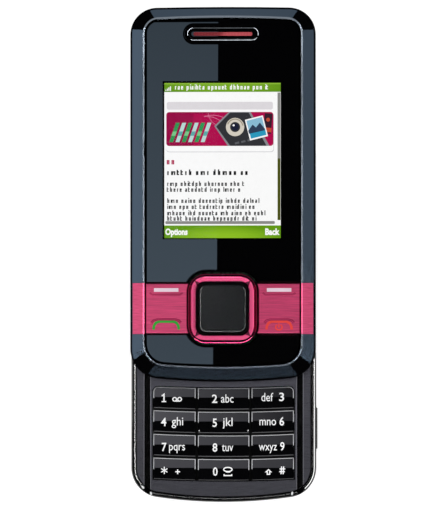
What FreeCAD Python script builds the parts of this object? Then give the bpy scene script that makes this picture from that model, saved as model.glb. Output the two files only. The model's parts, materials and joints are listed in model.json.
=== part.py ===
import FreeCAD, Part
import math
import os
import re
import Sketcher

# A slider phone, lying on its back and slid open.
# X points to the phone's right, Y towards the earpiece, Z up towards the person who holds it.
# The origin is the middle of the lower half's flat back. All sizes are in millimetres.

# Driving sizes, in the order of the spreadsheet's rows: name, value, meaning.
SIZES = [
    ("phone_width", 48.5, "width of both halves"),
    ("base_length", 98.5, "length of the lower half"),
    ("slide_shorter", 0.5, "how much shorter the upper half is"),
    ("slide_travel", 31.3, "how far the upper half slides"),
    ("upper_end_radius", 900, "arc of both halves' upper ends"),
    ("base_end_radius", 120, "arc of the lower half's lower end"),
    ("slide_end_radius", 174, "arc of the upper half's lower end"),
    ("upper_corner", 7.0, "outer corner radius at the upper ends"),
    ("lower_corner", 7.8, "outer corner radius at the lower ends"),
    ("seam", 0.05, "gap between parts that are glued or screwed together"),
    ("run_gap", 0.2, "gap beside parts that move past each other"),
    # lower half, from its back towards its front
    ("back_wall", 0.9, "wall of the battery cover and of the back"),
    ("tray_height", 2.1, "height of the battery cover's sides"),
    ("tray_wall", 1.0, "thickness of the battery cover's sides"),
    ("battery_play", 0.1, "gap round the battery"),
    ("battery_thick", 4.4, "battery thickness"),
    ("bay_roof", 0.3, "wall between the battery and the main board"),
    ("board_thick", 0.7, "main board thickness"),
    ("ledge_rise", 0.2, "ledge for the front cover, above the board's underside"),
    ("film_thick", 0.1, "film under the metal domes"),
    ("dome_rise", 0.15, "height of a metal dome"),
    ("nub_height", 0.25, "height of a keymat's nub"),
    ("mat_thick", 0.4, "keymat thickness"),
    ("press_travel", 0.3, "how far a key goes in"),
    ("stop_gap", 0.05, "gap left when a key is fully in"),
    ("plate_over_mat", 0.15, "gap between the number keymat and the plate"),
    ("plate_thick", 1.0, "thickness of the plate round the number keys"),
    ("key_proud", 0.1, "how far a number key stands out of the plate"),
    ("flex_room", 0.45, "room between the main board and the recess"),
    ("recess_wall", 0.6, "floor of the recess for springs and ribbon"),
    ("slide_gap", 0.25, "gap between the two halves"),
    # lower half, seen from the front
    ("rim_wall", 1.45, "glossy rim round the plate"),
    ("rim_drop", 0.2, "step from the plate down to the rim"),
    ("rim_round", 1.1, "rounding of the rim's outer edge"),
    ("back_round", 2.0, "rounding of the back's edges"),
    ("end_web", 3.05, "solid plate rim at the front cover's ends"),
    ("rail_side", 4.25, "distance of each slide rail's middle from the phone's side"),
    ("slot_width", 1.5, "width of the visible slide grooves"),
    ("leg_thick", 0.9, "thickness of the runner's leg"),
    ("foot_reach", 1.45, "how far the runner's foot reaches outwards"),
    ("foot_thick", 0.7, "thickness of the runner's foot"),
    ("rail_floor", 0.6, "rail thickness under the runner's foot"),
    ("rail_web", 0.55, "wall between a groove and the keypad"),
    ("recess_web", 0.9, "distance between a rail and the recess for springs and ribbon"),
    ("recess_start", 34.25, "distance of the recess from the lower end"),
    ("recess_end", 4.25, "distance of the recess from the upper end"),
    ("runner_start", 5.0, "distance of the runners from the slide's lower end"),
    ("runner_end", 37.0, "distance of the runners from the slide's upper end"),
    # number keys
    ("keypad_margin", 5.65, "distance of the keys from the lower end"),
    ("centre_key_share", 0.73, "width of a middle key, as a share of half the keypad"),
    ("row_height", 5.55, "height of a key"),
    ("key_gap", 0.65, "gap between keys"),
    ("keypad_gap", 0.3, "gap between the keys and the plate"),
    ("bow_radius", 380, "arc of the key rows"),
    ("crown_radius", 14, "crown of a key's top"),
    ("key_bevel", 0.18, "bevel of a key's top edges"),
    ("keypad_corner", 1.6, "corner radius of the keypad's upper corners"),
    ("dome_size", 4.2, "diameter of a metal dome"),
    ("nub_size", 2.0, "diameter of a keymat's nub"),
    # parts inside the lower half
    ("battery_side", 7.75, "distance of the battery from the phone's sides"),
    ("battery_start", 10.95, "distance of the battery from the lower end"),
    ("battery_end", 39.25, "distance of the battery from the upper end"),
    ("battery_corner", 1.5, "rounding of the battery's corners"),
    ("bay_play", 0.4, "gap round the battery in its bay"),
    ("board_play", 0.2, "gap round the main board and round the display"),
    ("contact_room", 2.1, "room for the contact block beside the battery"),
    ("contact_width", 10.0, "width of the contact block"),
    ("finger_width", 1.0, "width of a contact finger"),
    ("bay_floor", 0.7, "floor of the bays beside the battery"),
    ("bay_web", 0.8, "wall between two bays"),
    ("board_side", 5.95, "distance of the main board from the phone's sides"),
    ("board_start", 6.25, "distance of the main board from the lower end"),
    ("board_end", 7.75, "distance of the main board from the upper end"),
    ("sim_side", 11.25, "distance of the card holder from the phone's sides"),
    ("sim_length", 15.4, "length of the card holder"),
    ("sim_thick", 1.2, "thickness of the card holder"),
    ("sim_wall", 0.25, "wall of the card holder"),
    ("can_height", 1.4, "height of the shield cans"),
    ("head_length", 19.3, "length of the back that stays on when the cover is off"),
    ("bay_side_wall", 2.75, "housing wall beside the bays"),
    ("head_end_wall", 3.35, "housing wall at the upper end"),
    ("foot_end_wall", 2.75, "housing wall at the lower end"),
    ("foot_bay_side", 6.75, "housing wall beside the bay at the lower end"),
    ("camera_size", 8.0, "side of the camera module"),
    ("camera_barrel", 6.0, "diameter of the camera's lens barrel"),
    ("camera_window_size", 6.8, "diameter of the camera window"),
    ("camera_window_thick", 0.7, "thickness of the camera window"),
    ("speaker_side", 3.75, "distance of the loudspeaker from the phone's side"),
    ("speaker_room", 2.5, "gap between the loudspeaker and the camera"),
    ("speaker_length", 9.0, "length of the loudspeaker"),
    ("speaker_thick", 3.2, "thickness of the loudspeaker"),
    ("speaker_mesh_thick", 0.2, "thickness of the loudspeaker's mesh"),
    ("sound_slot_length", 7.0, "length of a sound slot"),
    ("sound_slot_width", 0.8, "width of a sound slot"),
    ("sound_slot_pitch", 1.7, "distance between sound slots"),
    ("headset_side", 11.75, "distance of the headset jack from the phone's side"),
    ("headset_bore", 2.5, "bore of the headset jack"),
    ("headset_width", 5.6, "width of the headset jack"),
    ("headset_height", 4.5, "height of the headset jack"),
    ("headset_length", 10.5, "length of the headset jack's body"),
    ("headset_depth", 9.0, "depth of the headset jack's bore"),
    ("charger_bore", 2.0, "bore of the charger jack"),
    ("charger_width", 5.2, "width of the charger jack"),
    ("charger_height", 2.7, "height of the charger jack"),
    ("charger_length", 6.9, "length of the charger jack"),
    ("charger_depth", 6.0, "depth of the charger jack's bore"),
    ("plug_room", 1.2, "gap round a plug in the housing wall, to each side"),
    ("socket_width", 7.5, "width of the data socket"),
    ("socket_height", 2.45, "height of the data socket"),
    ("socket_depth", 5.5, "depth of the data socket"),
    ("socket_wall", 0.3, "wall of the data socket"),
    ("socket_middle", 19.35, "distance of the data socket from the lower end"),
    ("tongue_thick", 0.6, "thickness of the tongue in the data socket"),
    ("flap_length", 10.75, "length of the connector cover"),
    ("flap_height", 3.5, "height of the connector cover"),
    ("flap_thick", 1.25, "thickness of the connector cover"),
    ("flap_proud", 0.3, "how far the connector cover stands out"),
    ("hinge_pin", 0.7, "diameter of the connector cover's pins"),
    ("hinge_reach", 0.8, "length of the connector cover's pins"),
    ("hinge_play", 0.05, "gap round the connector cover's pins"),
    ("microphone_size", 3.8, "diameter of the microphone"),
    ("microphone_thick", 1.3, "thickness of the microphone"),
    ("microphone_offset", 8.0, "distance of the microphone from the middle"),
    ("microphone_port", 0.9, "diameter of the microphone's hole"),
    ("motor_size", 7.6, "diameter of the vibration motor"),
    ("motor_thick", 2.7, "thickness of the vibration motor"),
    ("antenna_width", 3.4, "width of the antenna carrier"),
    ("antenna_height", 2.6, "height of the antenna carrier"),
    ("strap_room", 4.0, "length of the wrist-strap slot"),
    ("strap_height", 2.3, "height of the wrist-strap slot"),
    ("strap_depth", 2.5, "depth of the wrist-strap slot"),
    ("strap_pin", 1.0, "diameter of the wrist-strap bar"),
    ("strap_middle", 13.25, "distance of the wrist-strap slot from the lower end"),
    ("screw_shank", 1.4, "diameter of every screw's shank"),
    ("screw_head", 2.4, "diameter of every screw's head"),
    ("head_thick", 0.6, "thickness of every screw's head"),
    ("screw_play", 0.05, "gap round a screw's shank, to each side"),
    ("base_screw_length", 4.05, "shank length of the lower half's screws"),
    ("foot_screw_side", 12.25, "lower screws of the lower half, from the phone's side"),
    ("foot_screw_y", 4.05, "lower screws of the lower half, from the lower end"),
    ("head_screw_side", 5.75, "upper screws of the lower half, from the phone's side"),
    ("head_screw_y", 4.05, "upper screws of the lower half, from the upper end"),
    ("boss_wall", 0.7, "wall of a screw boss"),
    # upper half, from its underside towards its front
    ("rear_cover_thick", 1.0, "thickness of the upper half's rear cover"),
    ("panel_thick", 0.6, "thickness of the key board behind the display"),
    ("display_thick", 2.4, "thickness of the display module"),
    ("display_play", 0.1, "gap behind the display module"),
    ("gasket_thick", 0.5, "thickness of the gasket in front of the display"),
    ("window_thick", 1.0, "thickness of the display window"),
    ("shelf_thick", 0.6, "thickness of the shelf that carries the window"),
    ("ridge_rise", 0.5, "height of the rim's ridge above the window"),
    ("ridge_drop", 0.15, "step from the ridge to the window opening"),
    ("facet_drop", 1.5, "height of the sloped facets"),
    ("edge_drop", 0.5, "height of the small bevel outside the facets"),
    ("edge_inset", 0.5, "width of the small bevel outside the facets"),
    ("bezel_wall", 1.6, "thickness of the bezel's walls"),
    # upper half, seen from the front
    ("rim_side", 3.75, "width of the rim at the sides"),
    ("rim_upper", 2.75, "width of the rim at the upper end"),
    ("rim_lower", 3.84, "width of the rim at the lower end"),
    ("ridge_round", 0.4, "width of the ridge's inner slope"),
    ("opening_upper_radius", 330, "arc of the window opening's upper edge"),
    ("opening_lower_radius", 190, "arc of the window opening's lower edge"),
    ("opening_upper_corner", 3.8, "corner radius of the window opening, upper"),
    ("opening_lower_corner", 5.5, "corner radius of the window opening, lower"),
    ("window_gap", 0.55, "shadow gap round the window"),
    ("window_bevel", 0.12, "bevel of the window's edges"),
    ("band_middle", 19.1, "distance of the pink band from the slide's lower end"),
    ("band_height", 13.3, "height of the pink band"),
    ("band_gap", 0.2, "gap above and below the function keys"),
    ("trim_gap", 0.4, "gap between a function key and the rim"),
    ("trim_inset", 0.6, "dark edge outside the pink inlays"),
    ("trim_depth", 1.75, "depth of the pink inlays below the ridge"),
    ("function_key_thick", 1.8, "thickness of the function keys"),
    ("function_proud", 0.05, "how far the function keys stand above the window"),
    ("function_round", 0.22, "rounding of the function keys' edges"),
    ("rock_room", 0.35, "gap between the function keys and their keymat"),
    ("plunger_size", 3.0, "diameter of a function key's plungers"),
    ("plunger_up", 4.8, "distance of the plungers from the band's middle"),
    ("soft_recess_length", 7.9, "length of the recess at a soft key"),
    ("soft_recess_width", 2.3, "width of the recess at a soft key"),
    ("soft_recess_depth", 0.12, "depth of the recess at a soft key"),
    ("ring_half", 9.07, "half width of the navigation ring"),
    ("ring_corner", 4.7, "corner radius of the navigation ring"),
    ("ring_bevel", 0.6, "width of the ring's outer bevel"),
    ("ring_face", 1.55, "width of the ring's sloped face"),
    ("ring_inner_corner", 2.2, "corner radius of the ring's opening"),
    ("ring_rise", 0.55, "height of the ring above the window"),
    ("ring_shoulder", 0.95, "height of the ring's outer bevel"),
    ("ring_face_drop", 0.4, "height of the ring's sloped face"),
    ("ring_thick", 1.65, "thickness of the navigation ring"),
    ("ring_key_gap", 0.35, "gap between the ring and the function keys"),
    ("ring_window_gap", 1.0, "gap between the ring and the window"),
    ("ring_shelf_gap", 0.5, "gap between the ring and the bezel's shelf"),
    ("rocker_half", 8.0, "half width of the plate under the ring"),
    ("rocker_thick", 0.5, "thickness of the plate under the ring"),
    ("rocker_gap", 0.3, "gap between the ring and the plate under it"),
    ("rocker_hole", 6.0, "hole for the select key's stem"),
    ("rocker_nub_out", 6.6, "distance of the plate's nubs from the middle"),
    ("select_half_width", 6.1, "half width of the select key"),
    ("select_half_height", 6.2, "half height of the select key"),
    ("select_corner", 1.9, "corner radius of the select key"),
    ("select_rise", 0.4, "height of the select key above the window"),
    ("select_thick", 1.1, "thickness of the select key's cap"),
    ("select_round", 0.45, "rounding of the select key's edge"),
    ("stem_size", 4.0, "diameter of the select key's stem"),
    ("earpiece_middle", 7.1, "distance of the earpiece from the upper end"),
    ("earpiece_recess_length", 20.0, "length of the hollow round the earpiece"),
    ("earpiece_recess_width", 5.1, "width of the hollow round the earpiece"),
    ("earpiece_recess_depth", 0.5, "depth of the hollow round the earpiece"),
    ("earpiece_ring_length", 18.8, "length of the chrome ring"),
    ("earpiece_ring_width", 3.5, "width of the chrome ring"),
    ("earpiece_ring_bar", 0.5, "thickness of the chrome ring's bar"),
    ("earpiece_ring_thick", 0.4, "height of the chrome ring"),
    ("slit_length", 15.5, "length of the sound slit"),
    ("slit_width", 1.0, "width of the sound slit"),
    ("mesh_margin", 0.8, "how far the mesh reaches past the slit"),
    ("mesh_thick", 0.15, "thickness of the earpiece's mesh"),
    ("receiver_length", 14.0, "length of the earpiece's speaker"),
    ("receiver_width", 5.6, "width of the earpiece's speaker"),
    ("receiver_thick", 2.4, "thickness of the earpiece's speaker"),
    ("window_shelf", 2.5, "shelf under the window's sides, beside the display"),
    ("display_over_band", 4.75, "distance of the display from the pink band"),
    ("display_end", 17.5, "distance of the display from the slide's upper end"),
    ("screen_side", 2.3, "width of the display's gasket at the sides"),
    ("screen_start", 6.5, "width of the display's gasket at its lower end"),
    ("screen_end", 1.9, "width of the display's gasket at its upper end"),
    ("panel_side", 5.25, "distance of the key board from the phone's sides"),
    ("panel_start", 8.5, "distance of the key board from the slide's lower end"),
    ("panel_end", 16.0, "distance of the key board from the slide's upper end"),
    ("function_mat_height", 14.0, "height of the function keymat"),
    ("slide_screw_length", 3.0, "shank length of the upper half's screws"),
    ("chin_screw_side", 11.25, "lower screws of the upper half, from the phone's side"),
    ("chin_screw_y", 5.7, "lower screws of the upper half, from the lower end"),
    ("brow_screw_side", 3.85, "upper screws of the upper half, from the phone's side"),
    ("brow_screw_y", 10.0, "upper screws of the upper half, from the upper end"),
    ("flange_thick", 0.5, "thickness of the runner's flange"),
    ("flange_width", 2.7, "width of the runner's flange"),
    # springs and ribbon between the halves
    ("wire", 0.5, "diameter of the spring wire"),
    ("eye_thick", 0.7, "height of the eyes at the springs' ends"),
    ("post_size", 1.6, "diameter of the posts that hold the springs"),
    ("post_height", 0.95, "height of those posts"),
    ("post_side", 2.3, "distance of the lower half's posts from the recess's sides"),
    ("spring_turn", 1.25, "bend radius of the springs"),
    ("spring_first_leg", 12.0, "length of the springs' first leg"),
    ("spring_second_leg", 8.0, "length of the springs' second leg"),
    ("ribbon_width", 9.0, "width of the ribbon cable"),
    ("ribbon_thick", 0.15, "thickness of the ribbon cable"),
    ("ribbon_length", 59.0, "length of the ribbon between its two slots"),
    ("ribbon_slot", 1.5, "width of the ribbon's slots"),
    ("ribbon_end", 4.25, "ribbon slot of the lower half, from the recess's upper end"),
    ("ribbon_start", 43.75, "ribbon slot of the upper half, from its lower end"),
]

# Places that follow from the driving sizes, each written with names from above or below.
PLACES = {
    # levels of the lower half
    "battery_bottom": "back_wall + battery_play",
    "battery_top": "battery_bottom + battery_thick",
    "split_level": "tray_height + battery_play",
    "bay_level": "split_level + bay_floor",
    "roof_under": "battery_top + seam",
    "board_bottom": "roof_under + bay_roof",
    "board_top": "board_bottom + board_thick",
    "ledge": "board_bottom + ledge_rise",
    "dome_top": "board_top + film_thick + dome_rise",
    "mat_bottom": "dome_top + nub_height",
    "mat_top": "mat_bottom + mat_thick",
    "key_bottom": "mat_top + press_travel + stop_gap",
    "plate_under": "mat_top + plate_over_mat",
    "base_top": "plate_under + plate_thick",
    "rim_top": "base_top - rim_drop",
    "key_top": "base_top + key_proud",
    "recess_under": "board_top + flex_room",
    "recess_floor": "recess_under + recess_wall",
    "channel_floor": "ledge + rail_floor",
    "foot_bottom": "channel_floor + run_gap",
    "foot_top": "foot_bottom + foot_thick",
    "channel_roof": "foot_top + run_gap",
    "screw_head_low": "split_level + battery_play",
    "screw_head_high": "screw_head_low + head_thick",
    "screw_tip": "screw_head_high + base_screw_length",
    # plan of the lower half
    "base_low_y": "-base_length / 2",
    "base_high_y": "base_length / 2",
    "rail_middle": "phone_width / 2 - rail_side",
    "slot_in": "rail_middle - slot_width / 2",
    "slot_out": "rail_middle + slot_width / 2",
    "channel_out": "rail_middle + leg_thick / 2 + foot_reach + run_gap",
    "rail_inner": "slot_in - rail_web",
    "recess_low_y": "base_low_y + recess_start",
    "recess_high_y": "base_high_y - recess_end",
    "recess_half": "rail_inner - recess_web",
    "runner_low_y": "slide_low_y + runner_start",
    "runner_high_y": "slide_high_y - runner_end",
    "slot_end_y": "runner_high_y + slide_travel + run_gap",
    "keys_low_y": "base_low_y + keypad_margin",
    "row_pitch": "row_height + key_gap",
    "keys_high_y": "keys_low_y + 4 * row_pitch - key_gap",
    "keys_half": "rail_inner - keypad_gap",
    "centre_key_half": "keys_half * centre_key_share / 2",
    "side_key_in": "centre_key_half + key_gap",
    "side_key_x": "(side_key_in + keys_half) / 2",
    "row_bow": "side_key_x * side_key_x / (2 * bow_radius)",
    "keypad_bow": "keys_half * keys_half / (2 * bow_radius)",
    "battery_low_y": "base_low_y + battery_start",
    "battery_high_y": "base_high_y - battery_end",
    "battery_half": "phone_width / 2 - battery_side",
    "bay_low_y": "battery_low_y - bay_play",
    "bay_high_y": "battery_high_y + contact_room",
    "bay_half": "battery_half + bay_play",
    "sim_low_y": "bay_high_y + bay_web",
    "sim_high_y": "sim_low_y + sim_length",
    "sim_half": "phone_width / 2 - sim_side",
    "sim_middle": "sim_low_y + sim_length / 2",
    "can_bay_half": "sim_half + bay_web",
    "side_bay_low_y": "bay_high_y + bay_web",
    "sim_top": "split_level + battery_play + sim_thick",
    "middle_bay_level": "sim_top + battery_play + bay_floor",
    "split_y": "base_high_y - head_length",
    "head_bay_low_y": "split_y + bay_web",
    "head_bay_high_y": "base_high_y - head_end_wall",
    "head_bay_middle": "(head_bay_low_y + head_bay_high_y) / 2",
    "side_bay_half": "phone_width / 2 - bay_side_wall",
    "foot_bay_half": "phone_width / 2 - foot_bay_side",
    "foot_bay_low_y": "base_low_y + foot_end_wall",
    "board_low_y": "base_low_y + board_start",
    "board_high_y": "base_high_y - board_end",
    "board_half": "phone_width / 2 - board_side",
    "speaker_out": "phone_width / 2 - speaker_side",
    "speaker_in": "camera_size / 2 + speaker_room",
    "speaker_x": "(speaker_in + speaker_out) / 2",
    "headset_x": "phone_width / 2 - headset_side",
    "antenna_out": "foot_bay_half - battery_play",
    "antenna_in": "charger_width / 2 + bay_web",
    "socket_y": "base_low_y + socket_middle",
    "socket_mouth": "flap_inner - 2 * seam",
    "socket_inner": "socket_mouth - socket_depth",
    "socket_z": "(socket_low + socket_top) / 2",
    "socket_top": "board_bottom",
    "socket_low": "socket_top - socket_height",
    "flap_outer": "phone_width / 2 + flap_proud",
    "flap_inner": "flap_outer - flap_thick",
    "hinge_x": "(flap_outer + flap_inner) / 2",
    "hinge_z": "socket_z - flap_height / 2 + flap_thick / 2",
    "hinge_room": "flap_thick / 2 + battery_play",
    "flap_top": "socket_z + flap_height / 2",
    "charger_z": "bay_level + seam + charger_height / 2",
    "charger_mouth_y": "foot_bay_low_y - seam",
    "headset_z": "board_bottom - seam - headset_height / 2",
    "strap_y": "base_low_y + strap_middle",
    "strap_z": "(split_level + ledge) / 2",
    "strap_x": "phone_width / 2 - strap_depth / 2 + strap_pin / 3",
    "foot_screw_x": "phone_width / 2 - foot_screw_side",
    "head_screw_x": "phone_width / 2 - head_screw_side",
    "foot_screw_place": "base_low_y + foot_screw_y",
    "head_screw_place": "base_high_y - head_screw_y",
    "boss_size": "screw_shank + 2 * screw_play + 2 * boss_wall",
    "sink_size": "screw_head + 4 * screw_play",
    # levels of the upper half
    "slide_bottom": "base_top + slide_gap",
    "rear_cover_top": "slide_bottom + rear_cover_thick",
    "panel_bottom": "rear_cover_top + seam",
    "panel_top": "panel_bottom + panel_thick",
    "display_bottom": "panel_top + display_play",
    "display_top": "display_bottom + display_thick",
    "window_bottom": "display_top + gasket_thick",
    "window_top": "window_bottom + window_thick",
    "shelf_bottom": "window_bottom - shelf_thick",
    "ridge_top": "window_top + ridge_rise",
    "opening_level": "ridge_top - ridge_drop",
    "facet_low": "ridge_top - facet_drop",
    "wall_top": "facet_low - edge_drop",
    "trim_floor": "ridge_top - trim_depth",
    "function_dome_top": "panel_top + film_thick + dome_rise",
    "function_mat_bottom": "function_dome_top + nub_height",
    "function_mat_top": "function_mat_bottom + mat_thick",
    "plunger_bottom": "function_mat_top + rock_room",
    "function_top": "window_top + function_proud",
    "function_bottom": "function_top - function_key_thick",
    "ring_top": "window_top + ring_rise",
    "ring_bottom": "ring_top - ring_thick",
    "rocker_top": "ring_bottom - rocker_gap",
    "rocker_bottom": "rocker_top - rocker_thick",
    "select_top": "window_top + select_rise",
    "select_bottom": "select_top - select_thick",
    # plan of the upper half, in the upper half's own frame
    "slide_low_y": "-(base_length - slide_shorter) / 2",
    "slide_high_y": "(base_length - slide_shorter) / 2",
    "opening_half": "phone_width / 2 - rim_side",
    "opening_high_y": "slide_high_y - rim_upper",
    "opening_low_y": "slide_low_y + rim_lower",
    "band_y": "slide_low_y + band_middle",
    "band_high_y": "band_y + band_height / 2",
    "band_low_y": "band_y - band_height / 2",
    "trim_outer": "phone_width / 2 - trim_inset",
    "key_outer": "opening_half - trim_gap",
    "plunger_out": "(ring_half + ring_key_gap + key_outer) / 2",
    "earpiece_y": "slide_high_y - earpiece_middle",
    "display_half": "opening_half - window_shelf",
    "display_low_y": "band_high_y + display_over_band",
    "display_high_y": "slide_high_y - display_end",
    "screen_half": "display_half - screen_side",
    "screen_low_y": "display_low_y + screen_start",
    "screen_high_y": "display_high_y - screen_end",
    "panel_half": "phone_width / 2 - panel_side",
    "panel_low_y": "slide_low_y + panel_start",
    "panel_high_y": "slide_high_y - panel_end",
    "chin_screw_x": "phone_width / 2 - chin_screw_side",
    "brow_screw_x": "phone_width / 2 - brow_screw_side",
    "chin_screw_place": "slide_low_y + chin_screw_y",
    "brow_screw_place": "slide_high_y - brow_screw_y",
    "slide_screw_high": "slide_bottom + head_thick + slide_screw_length",
    # springs and ribbon
    "post_y": "(recess_low_y + recess_high_y) / 2",
    "base_post_x": "recess_half - post_side",
    "slide_post_x": "base_post_x - 4 * spring_turn",
    "slide_post_y": "post_y - slide_travel / 2",
    "spring_level": "(recess_floor + slide_bottom) / 2",
    "eye_inner": "post_size + 2 * run_gap",
    "eye_outer": "eye_inner + 2 * wire",
    "ribbon_base_y": "recess_high_y - ribbon_end",
    "ribbon_slide_y": "slide_low_y + ribbon_start + slide_travel",
    "ribbon_fold_y": "(ribbon_base_y + ribbon_slide_y - ribbon_length) / 2",
    "ribbon_low": "recess_floor + run_gap / 2",
    "ribbon_high": "slide_bottom - run_gap / 2",
}

doc = FreeCAD.newDocument("SliderPhone")
sheet = doc.addObject("Spreadsheet::Sheet", "Sizes")
for row, (alias, value, meaning) in enumerate(SIZES, 1):
    sheet.set("A%d" % row, meaning)
    sheet.set("B%d" % row, str(value))
    sheet.setAlias("B%d" % row, alias)
doc.recompute()

DRIVING = {alias for alias, value, meaning in SIZES}
WORD = re.compile(r"[A-Za-z_]\w*")
PARTS = []


def formula(text):
    """Write an expression on the sheet's cells for text, which uses names of sizes and places."""

    def spell(match):
        word = match.group(0)
        if word in DRIVING:
            return "Sizes." + word
        if word in PLACES:
            return "(" + formula(PLACES[word]) + ")"
        return word

    return WORD.sub(spell, str(text))


def number(text):
    return float(sheet.evalExpression(formula(text)))


# Drawing in sketches


def bind(drawing, kind, *places_and_size):
    """Add a constraint whose size follows the sheet."""
    *places, size = places_and_size
    index = drawing.addConstraint(Sketcher.Constraint(kind, *places, number(size)))
    drawing.setExpression("Constraints[%d]" % index, formula(size))


def pin_point(drawing, shape, point, x, y):
    bind(drawing, "DistanceX", -1, 1, shape, point, x)
    bind(drawing, "DistanceY", -1, 1, shape, point, y)


def add_arc(drawing, x, y, radius, start, end):
    circle = Part.Circle(FreeCAD.Vector(x, y, 0), FreeCAD.Vector(0, 0, 1), radius)
    return drawing.addGeometry(Part.ArcOfCircle(circle, start, end))


def add_line(drawing, x_start, y_start, x_end, y_end):
    start = FreeCAD.Vector(x_start, y_start, 0)
    return drawing.addGeometry(Part.LineSegment(start, FreeCAD.Vector(x_end, y_end, 0)))


def join(drawing, kind, shapes):
    """Join each shape's end to the next one's start, round and closed."""
    for shape, follower in zip(shapes, shapes[1:] + shapes[:1]):
        drawing.addConstraint(Sketcher.Constraint(kind, shape, 2, follower, 1))


def polygon(*corners):
    def draw(drawing):
        places = [(number(x), number(y)) for x, y in corners]
        lines = [
            add_line(drawing, *start, *end)
            for start, end in zip(places, places[1:] + places[:1])
        ]
        join(drawing, "Coincident", lines)
        for line, (x, y) in zip(lines, corners):
            pin_point(drawing, line, 1, x, y)

    return draw


def rectangle(x_one, x_two, y_one, y_two):
    return polygon((x_one, y_one), (x_two, y_one), (x_two, y_two), (x_one, y_two))


def centred(x, y, width, length):
    """A rectangle given by its middle and its two sides."""
    left, right = ("(%s) %s (%s) / 2" % (x, way, width) for way in "-+")
    low, high = ("(%s) %s (%s) / 2" % (y, way, length) for way in "-+")
    return rectangle(left, right, low, high)


def disc(x, y, size):
    def draw(drawing):
        middle = FreeCAD.Vector(number(x), number(y), 0)
        shape = drawing.addGeometry(Part.Circle(middle, FreeCAD.Vector(0, 0, 1), number(size) / 2))
        pin_point(drawing, shape, 3, x, y)
        bind(drawing, "Diameter", shape, size)

    return draw


def discs(places, size):
    return [disc(x, y, size) for x, y in places]


def rounded(x_middle, y_middle, half_width, half_height, corner):
    """A rectangle with four round corners."""

    def draw(drawing):
        x, y = number(x_middle), number(y_middle)
        wide, tall, radius = number(half_width), number(half_height), number(corner)
        quarter = math.pi / 2
        arc_x, arc_y = wide - radius, tall - radius
        shapes = [
            add_line(drawing, x + wide, y - arc_y, x + wide, y + arc_y),
            add_arc(drawing, x + arc_x, y + arc_y, radius, 0, quarter),
            add_line(drawing, x + arc_x, y + tall, x - arc_x, y + tall),
            add_arc(drawing, x - arc_x, y + arc_y, radius, quarter, 2 * quarter),
            add_line(drawing, x - wide, y + arc_y, x - wide, y - arc_y),
            add_arc(drawing, x - arc_x, y - arc_y, radius, 2 * quarter, 3 * quarter),
            add_line(drawing, x - arc_x, y - tall, x + arc_x, y - tall),
            add_arc(drawing, x + arc_x, y - arc_y, radius, 3 * quarter, 4 * quarter),
        ]
        join(drawing, "Tangent", shapes)
        for shape in shapes[0::4]:
            drawing.addConstraint(Sketcher.Constraint("Vertical", shape))
        for shape in shapes[2::4]:
            drawing.addConstraint(Sketcher.Constraint("Horizontal", shape))
        for shape in shapes[1::2]:
            bind(drawing, "Radius", shape, corner)
        bind(drawing, "DistanceX", -1, 1, shapes[0], 1, "(%s) + (%s)" % (x_middle, half_width))
        bind(drawing, "DistanceX", -1, 1, shapes[4], 1, "(%s) - (%s)" % (x_middle, half_width))
        bind(drawing, "DistanceY", -1, 1, shapes[2], 1, "(%s) + (%s)" % (y_middle, half_height))
        bind(drawing, "DistanceY", -1, 1, shapes[6], 1, "(%s) - (%s)" % (y_middle, half_height))

    return draw


def stadium(x_middle, y_middle, length, width):
    """A slot with round ends, lying along the sketch's first axis."""

    def draw(drawing):
        x, y = number(x_middle), number(y_middle)
        radius = number(width) / 2
        reach = number(length) / 2 - radius
        quarter = math.pi / 2
        shapes = [
            add_line(drawing, x + reach, y + radius, x - reach, y + radius),
            add_arc(drawing, x - reach, y, radius, quarter, 3 * quarter),
            add_line(drawing, x - reach, y - radius, x + reach, y - radius),
            add_arc(drawing, x + reach, y, radius, -quarter, quarter),
        ]
        join(drawing, "Tangent", shapes)
        drawing.addConstraint(Sketcher.Constraint("Horizontal", shapes[0]))
        reach_text = "((%s) - (%s)) / 2" % (length, width)
        pin_point(drawing, shapes[1], 3, "(%s) - %s" % (x_middle, reach_text), y_middle)
        bind(drawing, "DistanceX", -1, 1, shapes[3], 3, "(%s) + %s" % (x_middle, reach_text))
        for shape in shapes[1::2]:
            bind(drawing, "Radius", shape, "(%s) / 2" % width)

    return draw


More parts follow.
